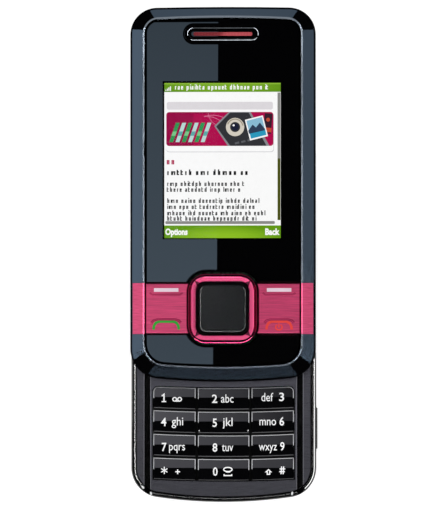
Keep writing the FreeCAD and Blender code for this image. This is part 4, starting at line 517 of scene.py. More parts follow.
def noise(tree, per_metre, detail=3.0):
    """Noise with that many features to the metre, along all axes or along each."""
    stretch = per_metre if isinstance(per_metre, tuple) else (per_metre,) * 3
    mapping = add(tree, "ShaderNodeMapping", Scale=stretch)
    tree.links.new(add(tree, "ShaderNodeTexCoord").outputs["Object"], mapping.inputs["Vector"])
    pattern = add(tree, "ShaderNodeTexNoise", Scale=1.0, Detail=detail)
    tree.links.new(mapping.outputs["Vector"], pattern.inputs["Vector"])
    return pattern.outputs["Fac"]


def ramped(tree, socket, span, low, high):
    """A number that goes from low to high while the socket goes through its span."""
    spread = add(tree, "ShaderNodeMapRange", From_Min=span[0], From_Max=span[1], To_Min=low, To_Max=high)
    tree.links.new(socket, spread.inputs["Value"])
    return spread.outputs[0]


def vary(tree, shader, socket, pattern, low, high):
    """Let a pattern move a shader's number between low and high."""
    tree.links.new(ramped(tree, pattern, PATTERN_SPAN, low, high), shader.inputs[socket])


def tint(tree, shader, pattern, dark, light, socket="Base Color"):
    """Let a pattern mix two colours."""
    ramp = add(tree, "ShaderNodeValToRGB")
    for element, position, colour in zip(ramp.color_ramp.elements, PATTERN_SPAN, (dark, light)):
        element.position = position
        element.color = colour
    tree.links.new(pattern, ramp.inputs[0])
    tree.links.new(ramp.outputs["Color"], shader.inputs[socket])


def relief(tree, shader, pattern, depth):
    """Let a pattern raise the surface by up to that depth."""
    bump = add(tree, "ShaderNodeBump", Strength=1.0, Distance=depth * MM)
    tree.links.new(pattern, bump.inputs["Height"])
    tree.links.new(bump.outputs["Normal"], shader.inputs["Normal"])


print("patterns are ready")

# %% Three kinds of finish
def polished(name, colour, roughness=0.012, ripple=0.0002):
    """Polished plastic: almost a mirror, with a faint ripple from the mould and a few dull spots."""
    made, tree, shader = finish(name, colour, roughness)
    vary(tree, shader, "Roughness", noise(tree, 160), roughness * 0.7, roughness * 1.4)
    relief(tree, shader, noise(tree, 90, 1.0), ripple)
    return made


def brushed(name, colour, per_metre, metallic, roughness, depth=0.004, contrast=0.18, **settings):
    """Brushed metal: fine lines along the direction in which per_metre is small."""
    made, tree, shader = finish(name, colour, roughness, Metallic=metallic, **settings)
    lines = noise(tree, per_metre, 4.0)
    tint(tree, shader, lines, shaded(colour, 1 - contrast), shaded(colour, 1 + contrast))
    fine = noise(tree, tuple(part * 1.7 for part in per_metre))
    vary(tree, shader, "Roughness", fine, roughness * 0.8, roughness * 1.2)
    relief(tree, shader, lines, depth)
    return made


def grained(name, colour, roughness, per_metre=3500, depth=0.012):
    """Moulded plastic or rubber with a fine grain."""
    made, tree, shader = finish(name, colour, roughness)
    grain = noise(tree, per_metre)
    tint(tree, shader, noise(tree, 120), shaded(colour, 0.9), shaded(colour, 1.1))
    vary(tree, shader, "Roughness", grain, roughness * 0.85, min(1.0, roughness * 1.15))
    relief(tree, shader, grain, depth)
    return made


print("polished, brushed and grained finishes are ready")

# %% Changes to a finish
FLAT_LEVEL = 0.995
finishes = {}


def repaint(tree, shader, mask, colour):
    """Give the shader another base colour where the mask is 1."""
    mix = add(tree, "ShaderNodeMix", data_type="RGBA")
    tree.links.new(mask, mix.inputs["Factor"])
    tree.links.new(shader.inputs["Base Color"].links[0].from_socket, mix.inputs[6])
    mix.inputs[7].default_value = colour
    tree.links.new(mix.outputs[2], shader.inputs["Base Color"])


def opened(name):
    """A finish's tree and shader, to work on it further."""
    tree = finishes[name].node_tree
    return tree, tree.nodes["Principled BSDF"]


def polish_edges(name, roughness):
    """Rounded edges get rubbed smoother than the flats between them."""
    tree, shader = opened(name)
    mix = add(tree, "ShaderNodeMix", data_type="FLOAT")
    tree.links.new(maths(tree, "LESS_THAN", facing(tree, "Z"), FLAT_LEVEL), mix.inputs["Factor"])
    tree.links.new(shader.inputs["Roughness"].links[0].from_socket, mix.inputs[2])
    mix.inputs[3].default_value = roughness
    tree.links.new(mix.outputs[0], shader.inputs["Roughness"])


print("helpers for changes are ready")

# %% [markdown]
# ## What each part is made of
# The record names a material slot for every node. One finish per slot covers the whole phone, also
# the parts inside, which show when it is taken apart. The two visible metals are brushed: the plate
# across the phone, and the pink keys along it, as the fine lines in the picture run.

# %% Plastics and metals
for make, name, colour, *rest in (
    (polished, "black_gloss", "040405"),
    (polished, "key_gloss", "060607", 0.03),
    (polished, "window_acrylic", "030304", 0.006, 0.00005),
    (polished, "display_cell", "060708", 0.2),
    (polished, "camera_glass", "050608", 0.02),
    (brushed, "plate_metal", "4f4f55", (260, 5200, 260), 0.85, 0.32, 0.001, 0.12),
    (brushed, "pink_metal", "cb3f6d", (130, 4600, 900), 0.4, 0.34, 0.001, 0.26),
    (brushed, "chrome_ring", "d8d9dc", (900, 900, 900), 1.0, 0.08, 0.0005),
    (brushed, "steel", "b9babd", (300, 4000, 300), 1.0, 0.3),
    (brushed, "back_plate", "2c2c2f", (300, 3000, 300), 0.8, 0.4),
    (brushed, "contact_block", "c8a34a", (500, 2500, 500), 0.9, 0.3),
    (grained, "satin_key", "17191b", 0.3, 5000, 0.002),
    (grained, "cover_satin", "1b1c1e", 0.5),
    (grained, "port_black", "141414", 0.55),
    (grained, "foam", "1c1c1c", 0.95, 1800, 0.05),
    (grained, "silicone", "151618", 0.45, 900, 0.01),
    (grained, "battery_can", "6a6c70", 0.4, 700, 0.004),
    (grained, "lens_black", "121214", 0.6),
    (grained, "speaker_body", "2c2c2c", 0.55),
    (grained, "flex", "c9761c", 0.3, 900, 0.004),
    (grained, "antenna_carrier", "d8d2c2", 0.6),
):
    finishes[name] = make(name, paint(colour), *rest)
finishes["pink_polish"] = brushed(
    "pink_polish",
    paint("c81d64"),
    (300, 300, 300),
    0.95,
    0.1,
    0.0,
    0.03,
    Coat_Weight=1.0,
    Coat_IOR=1.65,
    Coat_Roughness=0.03,
)
print(len(finishes), "finishes so far")

# %% [markdown]
# ## Finishes with a pattern
# Some parts carry a pattern: the acoustic meshes are woven, the boards have copper tracks, and the
# dome film has steel discs. A mesh with real holes would need tens of thousands of threads, so here
# two crossed waves stand for the weave.

# %% Meshes, board, film and glass
BOARD_LANES = 60


def woven(name, colour, metallic=0.0, threads=2600):
    """Two crossed sets of threads."""
    made, tree, shader = finish(name, colour, 0.22, Metallic=metallic)
    waves = [maths(tree, "SINE", scaled(tree, along(tree, axis), threads * 2 * math.pi)) for axis in "XY"]
    weave = scaled(tree, maths(tree, "MAXIMUM", *waves), 0.25, 0.5)
    tint(tree, shader, weave, shaded(colour, 0.35), shaded(colour, 1.25))
    relief(tree, shader, weave, 0.006)
    return made


def tracks(name, lacquer, copper, per_metre):
    """A printed board or film: narrow tracks under a coloured lacquer."""
    made, tree, shader = finish(name, lacquer, 0.35)
    lanes = noise(tree, (per_metre, per_metre * 0.3, per_metre), 1.0)
    band = maths(tree, "SINE", scaled(tree, lanes, BOARD_LANES))
    tint(tree, shader, scaled(tree, band, 0.25, 0.5), lacquer, copper)
    relief(tree, shader, band, 0.02)
    return made


finishes["red_mesh"] = woven("red_mesh", paint("c0464f"), 0.35)
finishes["black_mesh"] = woven("black_mesh", paint("202020"))
finishes["board"] = tracks("board", paint("12402a"), paint("2f6b45"), 260)
finishes["dome_film"] = tracks("dome_film", paint("c9ccd0"), paint("e4e5e7"), 400)
print(len(finishes), "finishes")

# %% [markdown]
# ## Finishes with a place of their own
# The window is clear only over the display. The groove at each side of the plate is painted black, a
# painted shade for its dark inside, with a painted highlight along each edge. The ring gets a painted
# shade towards its corners and the keys painted highlights on their bevels, as masks worked out from
# the place or from the way the surface faces.

# %% Window, plate, ring and keys
CLEAR_X = (-15.75 * MM, 15.45 * MM)
CLEAR_Y = (19.5 * MM, 60.85 * MM)
CLEAR_SHARE = 0.95
GROOVE = (19.2 * MM, 20.8 * MM)
GROOVE_HIGHLIGHT_WIDTH = 0.14 * MM
RING_PLACE = (-0.07, 1.4)
CREASE_SLOPE = 0.45
CREASE_FOOT = 14.9 * MM
CREASE_SOFTNESS = 0.2 * MM
BEVEL = (0.5, 0.85)
UPWARD, DOWNWARD = 0.01, -0.3
CREASE_SHADE_SHARE, COAT_IN_CREASE_SHADE = 0.97, 0.1

tree, shader = opened("window_acrylic")
clear = [between(tree, along(tree, axis), *span) for axis, span in (("X", CLEAR_X), ("Y", CLEAR_Y))]
tree.links.new(scaled(tree, maths(tree, "MULTIPLY", *clear), -CLEAR_SHARE, 1), shader.inputs["Alpha"])

tree, shader = opened("plate_metal")
# painted highlight: a light grey strip along each edge of the groove; painted shade: the groove itself is pure black
aside = maths(tree, "ABSOLUTE", along(tree, "X"))
for low, high in ((GROOVE[0] - GROOVE_HIGHLIGHT_WIDTH, GROOVE[0]), (GROOVE[1], GROOVE[1] + GROOVE_HIGHLIGHT_WIDTH)):
    repaint(tree, shader, between(tree, aside, low, high), paint("8c8c92"))
repaint(tree, shader, between(tree, aside, *GROOVE), paint("000000"))
polish_edges("satin_key", 0.14)
polish_edges("pink_metal", 0.2)

# painted shade: a dark band towards each inner corner of the ring, with less coat in it, for the dark reflections there
tree, shader = opened("pink_polish")
aside = maths(tree, "ABSOLUTE", along(tree, "X"))
up = maths(tree, "ABSOLUTE", maths(tree, "SUBTRACT", along(tree, "Y"), RING_PLACE[1] * MM))
off_corner = maths(tree, "ABSOLUTE", maths(tree, "SUBTRACT", aside, up))
inwards = scaled(tree, maths(tree, "ADD", aside, up), -CREASE_SLOPE, CREASE_SLOPE * CREASE_FOOT)
crease = ramped(tree, maths(tree, "SUBTRACT", inwards, off_corner), (0.0, CREASE_SOFTNESS), 0.0, CREASE_SHADE_SHARE)
repaint(tree, shader, crease, paint("4a0a24"))
tree.links.new(ramped(tree, crease, (0.0, 1.0), 1.0, COAT_IN_CREASE_SHADE), shader.inputs["Coat Weight"])

tree, shader = opened("key_gloss")
tint(tree, shader, noise(tree, 200), paint("050506"), paint("08080a"))
# painted highlights: bevels facing up the cap are painted near white, and those facing down grey, for the light they
# catch
bevel = between(tree, facing(tree, "Z"), *BEVEL)
painted_highlight_side = maths(tree, "GREATER_THAN", facing(tree, "Y"), UPWARD)
painted_grey_side = maths(tree, "LESS_THAN", facing(tree, "Y"), DOWNWARD)
repaint(tree, shader, maths(tree, "MULTIPLY", bevel, painted_grey_side), paint("6a6a6c"))
repaint(tree, shader, maths(tree, "MULTIPLY", bevel, painted_highlight_side), paint("e4e5e8"))
print("masks worked out")

# %% Dress the CAD nodes
for row in frame["record"]["subparts"]:
    for place in nodes[row["node"]].material_slots:
        place.material = finishes[row["material_slot"]]

# %% [markdown]
# ## Legends on the keys
# The legends are printed on the caps. Flat text would float over a crowned cap or sink into it, so
# each text is turned into a mesh, cut into narrow strips and laid onto the cap below it, with an ink
# film's thickness. The widths and heights are what the photograph shows, in millimetres.

# %% From flat faces to a piece
from mathutils.bvhtree import BVHTree

HIGH_UP = 0.1


def surface(node):
    """What finds the surface of a CAD node."""
    mesh = nodes[node].data
    return BVHTree.FromPolygons(
        [vertex.co for vertex in mesh.vertices], [polygon.vertices for polygon in mesh.polygons]
    )


def drop(ground, x, y):
    """The height of a surface at a place, found from high above."""
    return ground.ray_cast(Vector((x, y, HIGH_UP)), Vector((0, 0, -1)))[0].z


def as_piece(name, shape, material, body):
    """Turn a bmesh into a closed piece that rides on a body."""
    bmesh.ops.recalc_face_normals(shape, faces=shape.faces)
    mesh = bpy.data.meshes.new(name)
    shape.to_mesh(mesh)
    shape.free()
    mesh.materials.append(material)
    made = put(mesh, name)
    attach(made, body)
    return made


def extruded(shape, faces):
    """Give flat faces a second side; returns the vertices of that side."""
    grown = bmesh.ops.extrude_face_region(shape, geom=faces)
    return [part for part in grown["geom"] if isinstance(part, bmesh.types.BMVert)]


print("helpers for pieces are ready")

# %% Text as a flat shape
def text_shape(words, thicken=0.0):
    """The flat shape of a text, as a bmesh."""
    curve = bpy.data.curves.new("text", "FONT")
    curve.body = words
    curve.resolution_u = 3
    curve.offset = thicken
    thing = bpy.data.objects.new("text", curve)
    mesh = bpy.data.meshes.new_from_object(thing)
    shape = bmesh.new()
    shape.from_mesh(mesh)
    bpy.data.objects.remove(thing)
    bpy.data.meshes.remove(mesh)
    return shape


def extent(shape, axis):
    places = [vertex.co[axis] for vertex in shape.verts]
    return min(places), max(places)


def fit(shape, left, right, foot, scale):
    """Stretch a text between left and right, with its foot line at foot; in millimetres."""
    low, high = extent(shape, 0)
    for vertex in shape.verts:
        vertex.co.x = (left + (vertex.co.x - low) / (high - low) * (right - left)) * MM
        vertex.co.y = (foot + vertex.co.y * scale) * MM
        vertex.co.z = 0


print("helpers for text are ready")

# %% Printing onto a surface
INK_ABOVE = 0.015 * MM
INK_BELOW = 0.02 * MM
STRIP = 0.25 * MM
WELD = 0.002 * MM

ink, tree, shader = finish("legend_ink", paint("f6f7f8"), 0.45, Emission_Strength=0.12)
shader.inputs["Emission Color"].default_value = (1, 1, 1, 1)
tint(tree, shader, noise(tree, 1500), paint("f2f3f4"), paint("ffffff"))


def drape(name, shape, node, material, above=INK_ABOVE):
    """Lay a flat shape onto a node from above, as a closed film that rides on the node's own body."""
    bmesh.ops.remove_doubles(shape, verts=shape.verts, dist=WELD)
    for axis, normal in enumerate((Vector((1, 0, 0)), Vector((0, 1, 0)))):
        low, high = extent(shape, axis)
        for step in range(1, math.ceil((high - low) / STRIP)):
            everything = shape.verts[:] + shape.edges[:] + shape.faces[:]
            bmesh.ops.bisect_plane(shape, geom=everything, plane_co=normal * (low + step * STRIP), plane_no=normal)
    for face in shape.faces:
        if face.normal.z < 0:
            face.normal_flip()
    ground = surface(node)
    tops = set(extruded(shape, shape.faces[:]))
    for vertex in shape.verts:
        vertex.co.z = drop(ground, *vertex.co.xy) + (above if vertex in tops else -INK_BELOW)
    return as_piece(name, shape, material, node)


print("the ink stands", round(INK_ABOVE / MM, 3), "mm above a cap")

# %% Size of the letters
DIGIT_HEIGHT, LETTER_HEIGHT = 2.13, 1.42
DIGIT_THICKEN, LETTER_THICKEN = 0.016, 0.004


def type_scale(letter, height):
    """What makes the font's letter that many millimetres high."""
    measure = text_shape(letter)
    high = extent(measure, 1)[1]
    measure.free()
    return height / high


DIGIT_SCALE = type_scale("0", DIGIT_HEIGHT)
LETTER_SCALE = type_scale("x", LETTER_HEIGHT)
print("digits x", round(DIGIT_SCALE, 2), "letters x", round(LETTER_SCALE, 2))

# %% Digits and letters
LEGENDS = (
    ("key_2", "2", -3.05, -1.64, -23.23),
    ("key_2", "abc", -0.66, 2.62, -23.17),
    ("key_3", "def", 9.9, 13.02, -22.81),
    ("key_3", "3", 14.56, 15.87, -22.74),
    ("key_4", "4", -16.4, -15.02, -29.3),
    ("key_4", "ghi", -13.61, -10.59, -29.14),
    ("key_5", "5", -2.89, -1.74, -29.5),
    ("key_5", "jkl", -0.26, 2.36, -29.3),
    ("key_6", "mno", 9.41, 13.77, -29.1),
    ("key_6", "6", 14.66, 15.87, -29.14),
    ("key_7", "7", -16.23, -14.95, -35.86),
    ("key_7", "pqrs", -14.3, -10.1, -35.69),
    ("key_8", "8", -2.89, -1.64, -36.0),
    ("key_8", "tuv", -0.43, 2.52, -35.9),
    ("key_9", "wxyz", 9.25, 14.0, -35.69),
    ("key_9", "9", 14.82, 15.97, -35.69),
    ("key_0", "0", -2.79, -1.57, -42.3),
)
digit, letters = ("digit", DIGIT_SCALE, DIGIT_THICKEN), ("letters", LETTER_SCALE, LETTER_THICKEN)
for key, words, left, right, foot in LEGENDS:
    kind, scale, thicken = digit if words.isdigit() else letters
    shape = text_shape(words, thicken)
    fit(shape, left, right, foot, scale)
    drape("legend_%s_%s" % (key, kind), shape, key, ink)
print(len(LEGENDS), "legends printed")

# %% [markdown]
# ## Signs
# The voice mail sign, the space bar, the shift arrow and the others are no letters of the font.
# Each is drawn from a few strokes of one width: a stroke is a line of points, widened to both sides.
# The caps let the light of the keypad through where they are printed, so the ink shines a little.

# %% Strokes
LINE = 0.29
SHARPEST_BEND = 0.4


def stroke(points, width=LINE, closed=False):
    """A line of points in millimetres, widened to both sides, as a bmesh of quads."""
    shape = bmesh.new()
    points = [Vector((x, y, 0)) for x, y in points]
    count = len(points)
    pairs = []
    for place, point in enumerate(points):
        before = points[place - 1] if closed or place else point
        after = points[(place + 1) % count] if closed or place < count - 1 else point
        first, second = point - before, after - point
        first = first.normalized() if first.length else second.normalized()
        second = second.normalized() if second.length else first
        across = Vector((-(first + second).y, (first + second).x, 0)).normalized()
        reach = width / 2 / max(SHARPEST_BEND, across.dot(Vector((-second.y, second.x, 0))))
        pairs.append([shape.verts.new((point + side * across * reach) * MM) for side in (-1, 1)])
    for place in range(count if closed else count - 1):
        near, far = pairs[place], pairs[(place + 1) % count]
        shape.faces.new((near[0], far[0], far[1], near[1]))
    return shape


def oval(x, y, wide, high, start=0, end=360, steps=20):
    """Points round an oval, or along an arc of it."""
    turns = [math.radians(start + (end - start) * step / steps) for step in range(steps + (end - start < 360))]
    return [(x + wide / 2 * math.cos(turn), y + high / 2 * math.sin(turn)) for turn in turns]


def sign(name, key, *strokes):
    """Signs are built stroke by stroke; strokes that cross are laid on one after the other."""
    for number, (points, width, closed) in enumerate(strokes):
        shape = stroke(points, width, closed)
        drape("%s_%d" % (name, number), shape, key, ink)


print("a stroke is", LINE, "mm wide")

# %% Signs on the caps
sign(
    "digit_one",
    "key_1",
    ([(-16.2, -21.45), (-15.62, -21.0), (-15.62, -23.0)], 0.34, False),
    ([(-16.25, -22.93), (-15.05, -22.93)], 0.28, False),
)
sign(
    "voice_mail_sign",
    "key_1",
    (oval(-12.83, -22.32, 0.98, 0.95), LINE, True),
    (oval(-11.53, -22.32, 0.98, 0.95), LINE, True),
    ([(-12.83, -22.79), (-11.53, -22.79)], LINE, False),
)
STAR_PLACE, STAR_ARM = Vector((-15.54, -40.95)), 0.95
star_arms = [STAR_ARM * towards(90, 90 + 60 * turn).xy for turn in range(3)]
sign("star_sign", "key_star", *[([STAR_PLACE - arm, STAR_PLACE + arm], 0.25, False) for arm in star_arms])
sign(
    "plus_sign",
    "key_star",
    ([(-12.66, -41.3), (-11.41, -41.3)], LINE, False),
    ([(-12.04, -41.92), (-12.04, -40.7)], LINE, False),
)
sign(
    "space_sign",
    "key_0",
    ([(0.13, -41.95), (0.13, -42.3), (2.13, -42.3), (2.13, -41.95)], LINE, False),
    (oval(1.13, -40.7, 2.2, 1.1), 0.3, True),
    ([(0.65, -41.35), (1.75, -41.35)], 0.3, False),
)
for name, side in (("left", -1), ("right", 1)):
    tick = [(side * 6.25, -30.62), (side * 6.45, -30.55), (side * 6.52, -30.3)]
    sign("five_tick_" + name, "key_5", (tick, 0.18, False))
arrow = [(11.45, -41.95), (11.45, -41.3), (11.15, -41.3), (11.78, -40.75), (12.4, -41.3), (12.1, -41.3), (12.1, -41.95)]
sign("shift_sign", "key_hash", (arrow, LINE, True))
sign(
    "hash_sign",
    "key_hash",
    ([(15.05, -41.92), (15.2, -39.9)], LINE, False),
    ([(15.6, -41.92), (15.75, -39.9)], LINE, False),
    ([(14.6, -41.25), (16.05, -41.25)], LINE, False),
    ([(14.7, -40.55), (16.15, -40.55)], LINE, False),
)
print("signs printed")

# %% [markdown]
# ## The page on the display
# The display shines by itself. Its page is built like a paper collage: thin glowing plates, each
# colour on its own layer just above the glass of the display module, under the window. The
# real display has 240 by 320 dots, so the page is laid out in dots, down from its upper left corner.

# %% Finishes that shine
DOT = 30.44 / 240
PAGE_LEFT, PAGE_TOP = -15.35, 60.42


def lit(name, code, strength=1.0):
    """A finish that shines by itself."""
    made, tree, shader = finish(name, (0, 0, 0, 1), 0.5)
    made.cycles.emission_sampling = "NONE"
    colour = paint(code)
    tint(tree, shader, noise(tree, 900, 1.0), shaded(colour, 0.98), shaded(colour, 1.0), "Emission Color")
    shader.inputs["Emission Strength"].default_value = strength
    return made


def glowing_bar(name, edge, middle, centre, reach):
    """A finish that shines most at centre and less further off; centre and reach in dots."""
    made, tree, shader = finish(name, (0, 0, 0, 1), 0.5, Emission_Strength=1.0)
    made.cycles.emission_sampling = "NONE"
    squares = []
    for axis, start, far in (
        ("X", PAGE_LEFT + centre[0] * DOT, reach[0] * DOT),
        ("Y", PAGE_TOP - centre[1] * DOT, reach[1] * DOT),
    ):
        away = scaled(tree, along(tree, axis), 1 / (far * MM), -start / far)
        squares.append(maths(tree, "MULTIPLY", away, away))
    away = maths(tree, "ADD", *squares)
    tint(tree, shader, scaled(tree, away, 0.4, 0.3), paint(middle), paint(edge), "Emission Color")
    return made


print("a dot is", round(DOT, 3), "mm wide")

# %% Plates on layers
GLASS_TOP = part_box("display_module")[1].z
PAGE_LAYER = 0.02 * MM
LAYER_SHARE = 0.9


def page_point(x, y, layer):
    """The place of a dot of the page, on one of its layers."""
    return Vector(((PAGE_LEFT + x * DOT) * MM, (PAGE_TOP - y * DOT) * MM, GLASS_TOP + layer * PAGE_LAYER))


def page_piece(name, shape, faces, material):
    """Give flat faces on the page a thickness, and let them ride on the slide."""
    bmesh.ops.translate(shape, verts=extruded(shape, faces), vec=(0, 0, PAGE_LAYER * LAYER_SHARE))
    return as_piece(name, shape, material, "slide")


def plate(name, layer, outlines, material):
    """Flat plates from outlines in dots, on one layer of the page."""
    shape = bmesh.new()
    faces = [shape.faces.new([shape.verts.new(page_point(x, y, layer)) for x, y in outline]) for outline in outlines]
    return page_piece(name, shape, faces, material)


def block(left, top, right, bottom):
    return [(left, top), (right, top), (right, bottom), (left, bottom)]


def rounded(left, top, right, bottom, radius, steps=5):
    """A block with round corners."""
    outline = []
    for x, y, start in (
        (right - radius, top + radius, -90),
        (right - radius, bottom - radius, 0),
        (left + radius, bottom - radius, 90),
        (left + radius, top + radius, 180),
    ):
        for step in range(steps + 1):
            turn = math.radians(start + 90 * step / steps)
            outline.append((x + radius * math.cos(turn), y + radius * math.sin(turn)))
    return outline


print("the page lies", round(GLASS_TOP / MM, 2), "mm high")

# %% The page
page_white = lit("page_white", "ffffff", 1.06)
plate("page_sheet", 0, [block(0, 0, 240, 320)], page_white)
title_green = glowing_bar("bar_green", "5c8f1c", "7db024", (120, 9), (150, 14))
foot_green = glowing_bar("foot_green", "679e16", "93c628", (120, 320), (120, 26))
plate("page_title_bar", 1, [block(0, 0, 240, 18.5)], title_green)
plate("page_title_shine", 2, [block(0, 0, 240, 3)], lit("bar_green_light", "90c03a"))
plate("page_foot_bar", 1, [block(0, 294, 240, 320)], foot_green)
plate("page_search_field", 1, [rounded(5, 39, 224, 55, 4)], lit("field_grey", "e6e2e6"))
plate("page_card_edge", 0.5, [rounded(4, 62, 226, 143, 6)], lit("card_grey", "d9d9dc"))
plate("page_card", 0.75, [rounded(4, 62, 225, 141.5, 6)], page_white)
plate("page_banner", 1, [rounded(4, 60, 225, 130, 6)], lit("banner_crimson", "b5104f"))
scroll_tracks = [block(233.5, 20, 239.5, 156), rounded(2, 285, 228, 291, 2.5)]
plate("page_scroll_tracks", 1, scroll_tracks, lit("scroll_grey", "8f8f8c"))
plate("page_scroll_end", 1, [block(233.5, 156, 239.5, 283)], lit("scroll_green", "4d5312"))
print("page laid out")

# %% [markdown]
# ## The banner and the lines of text
# What the page says is of no use to the part, so the words are only suggested: small letter-like
# strokes of the right height, spacing and tone. The banner gets a free pattern of stripes, a tilted
# square and rings in the colours that such a page has.

# %% Letter-like strokes
LETTERS = random.Random(11)
PEN_GAP = 0.6
WORD_GAP = 0.6
HALF_PEN = 0.45

# each form: its width, its upright strokes (place, from, to) and its level ones (height, from, to)
FORMS = (
    (0.62, ((0, 0, 1), (1, 0, 1)), ((1, 0, 1), (0, 0, 1))),
    (0.62, ((0, 0, 1), (1, 0, 1)), ((1, 0, 1),)),
    (0.62, ((0, 0, 1), (1, 0, 1)), ((0, 0, 1),)),
    (0.58, ((0, 0, 1), (1, 0.5, 1)), ((1, 0, 1), (0.5, 0, 1), (0, 0, 1))),
    (0.58, ((0, 0, 0.5), (1, 0, 1)), ((1, 0.1, 1), (0.5, 0, 1), (0, 0, 1))),
    (0.0, ((0, 0, 1.45),), ()),
    (0.0, ((0, 0, 1), (0, 1.25, 1.5)), ()),
    (0.4, ((0.3, 0, 1.35),), ((1, 0, 1), (0, 0.3, 1))),
    (0.4, ((0, 0, 1),), ((1, 0, 1),)),
    (0.62, ((0, 0, 1.45), (1, 0, 1)), ((1, 0, 1),)),
    (0.62, ((0, 0, 1), (1, 0, 1.45)), ((1, 0, 1), (0, 0, 1))),
    (0.62, ((0, -0.4, 1), (1, 0, 1)), ((1, 0, 1), (0, 0, 1))),
    (1.1, ((0, 0, 1), (0.5, 0, 1), (1, 0, 1)), ((1, 0, 1),)),
)


def letter(x, foot, high, pen):
    """Blocks that look like one small letter, and how wide it is."""
    wide, uprights, levels = LETTERS.choice(FORMS)
    wide *= high
    made = []
    for place, low, top in uprights:
        left = x + wide * place - (pen if place else 0)
        made.append(block(left, foot - top * high, left + pen, foot - low * high))
    for height, start, stop in levels:
        middle = foot - height * (high - pen) - pen / 2
        made.append(block(x + wide * start, middle - pen * HALF_PEN, x + wide * stop, middle + pen * HALF_PEN))
    return made, wide + pen


def line(left, right, foot, high, pen):
    """Words of letter-like strokes from left to right."""
    made, x, word = [], left, LETTERS.randint(3, 8)
    while x < right - high:
        blocks, wide = letter(x, foot, high, pen)
        made += blocks
        x += wide + pen * PEN_GAP
        word -= 1
        if not word:
            x += high * WORD_GAP
            word = LETTERS.randint(2, 8)
    return made


print(len(FORMS), "forms of small letters")

# %% Lines of text
ink_black = lit("page_ink", "0c0c0e")
plate("page_heading", 1, line(6, 183, 190, 8, 2.9), ink_black)
grey_lines = []
for foot, right in ((212.5, 173), (224.5, 160), (247.5, 204), (260, 189), (273, 214), (284, 198)):
    grey_lines += line(6, right, foot, 6.8, 1.9)
plate("page_lines", 1, grey_lines, lit("page_ink_grey", "08080a"))
plate("page_crimson_word", 1, line(5, 30, 168, 9, 2.6), lit("word_crimson", "b5104f"))
plate("page_title_words", 3, line(22, 219, 13.5, 7, 1.8), page_white)
bars = [block(2 + 3.2 * step, 14 - 2.4 * step, 4 + 3.2 * step, 16) for step in range(4)]
plate("page_signal_bars", 3, bars, page_white)
print("lines written")

# %% Soft-key words
WORD_THICKEN = 0.045
WORD_WELD = 0.001 * MM


def page_text(name, words, left, right, foot, high, layer):
    """Real words on the page, fitted between left and right; in dots."""
    shape = text_shape(words, WORD_THICKEN)
    low, top = extent(shape, 0), extent(shape, 1)[1]
    for vertex in shape.verts:
        x = left + (vertex.co.x - low[0]) / (low[1] - low[0]) * (right - left)
        vertex.co = page_point(x, foot - vertex.co.y / top * high, layer)
    bmesh.ops.remove_doubles(shape, verts=shape.verts, dist=WORD_WELD)
    page_piece(name, shape, shape.faces[:], page_white)


page_text("page_options_word", "Options", 2, 48, 313, 13, 3)
page_text("page_back_word", "Back", 208, 238, 313, 13, 3)
print("soft-key words set")

# %% Shapes for the banner
STRIPES, STRIPE_STEP = 6, 13


def ring_blocks(x, y, outer, inner, start=0, end=360, steps=24):
    """Quads round a ring, in dots."""
    made = []
    for step in range(steps):
        turns = [math.radians(start + (end - start) * place / steps) for place in (step, step + 1)]
        corners = ((outer, turns[0]), (outer, turns[1]), (inner, turns[1]), (inner, turns[0]))
        made.append([(x + radius * math.cos(turn), y + radius * math.sin(turn)) for radius, turn in corners])
    return made


def turned(x, y, degrees):
    """A flat place turned about the origin."""
    turn = math.radians(degrees)
    return x * math.cos(turn) - y * math.sin(turn), x * math.sin(turn) + y * math.cos(turn)


def tilted(x, y, wide, high, degrees):
    """A block turned about its middle, in dots."""
    corners = [turned(a * wide / 2, b * high / 2, degrees) for a, b in ((-1, -1), (1, -1), (1, 1), (-1, 1))]
    return [(x + a, y + b) for a, b in corners]


def slants(points):
    """Slanting stripes side by side, from the outline of the first."""
    return [[(x + STRIPE_STEP * step, y) for x, y in points] for step in range(STRIPES)]


print("the banner has", STRIPES, "stripes")

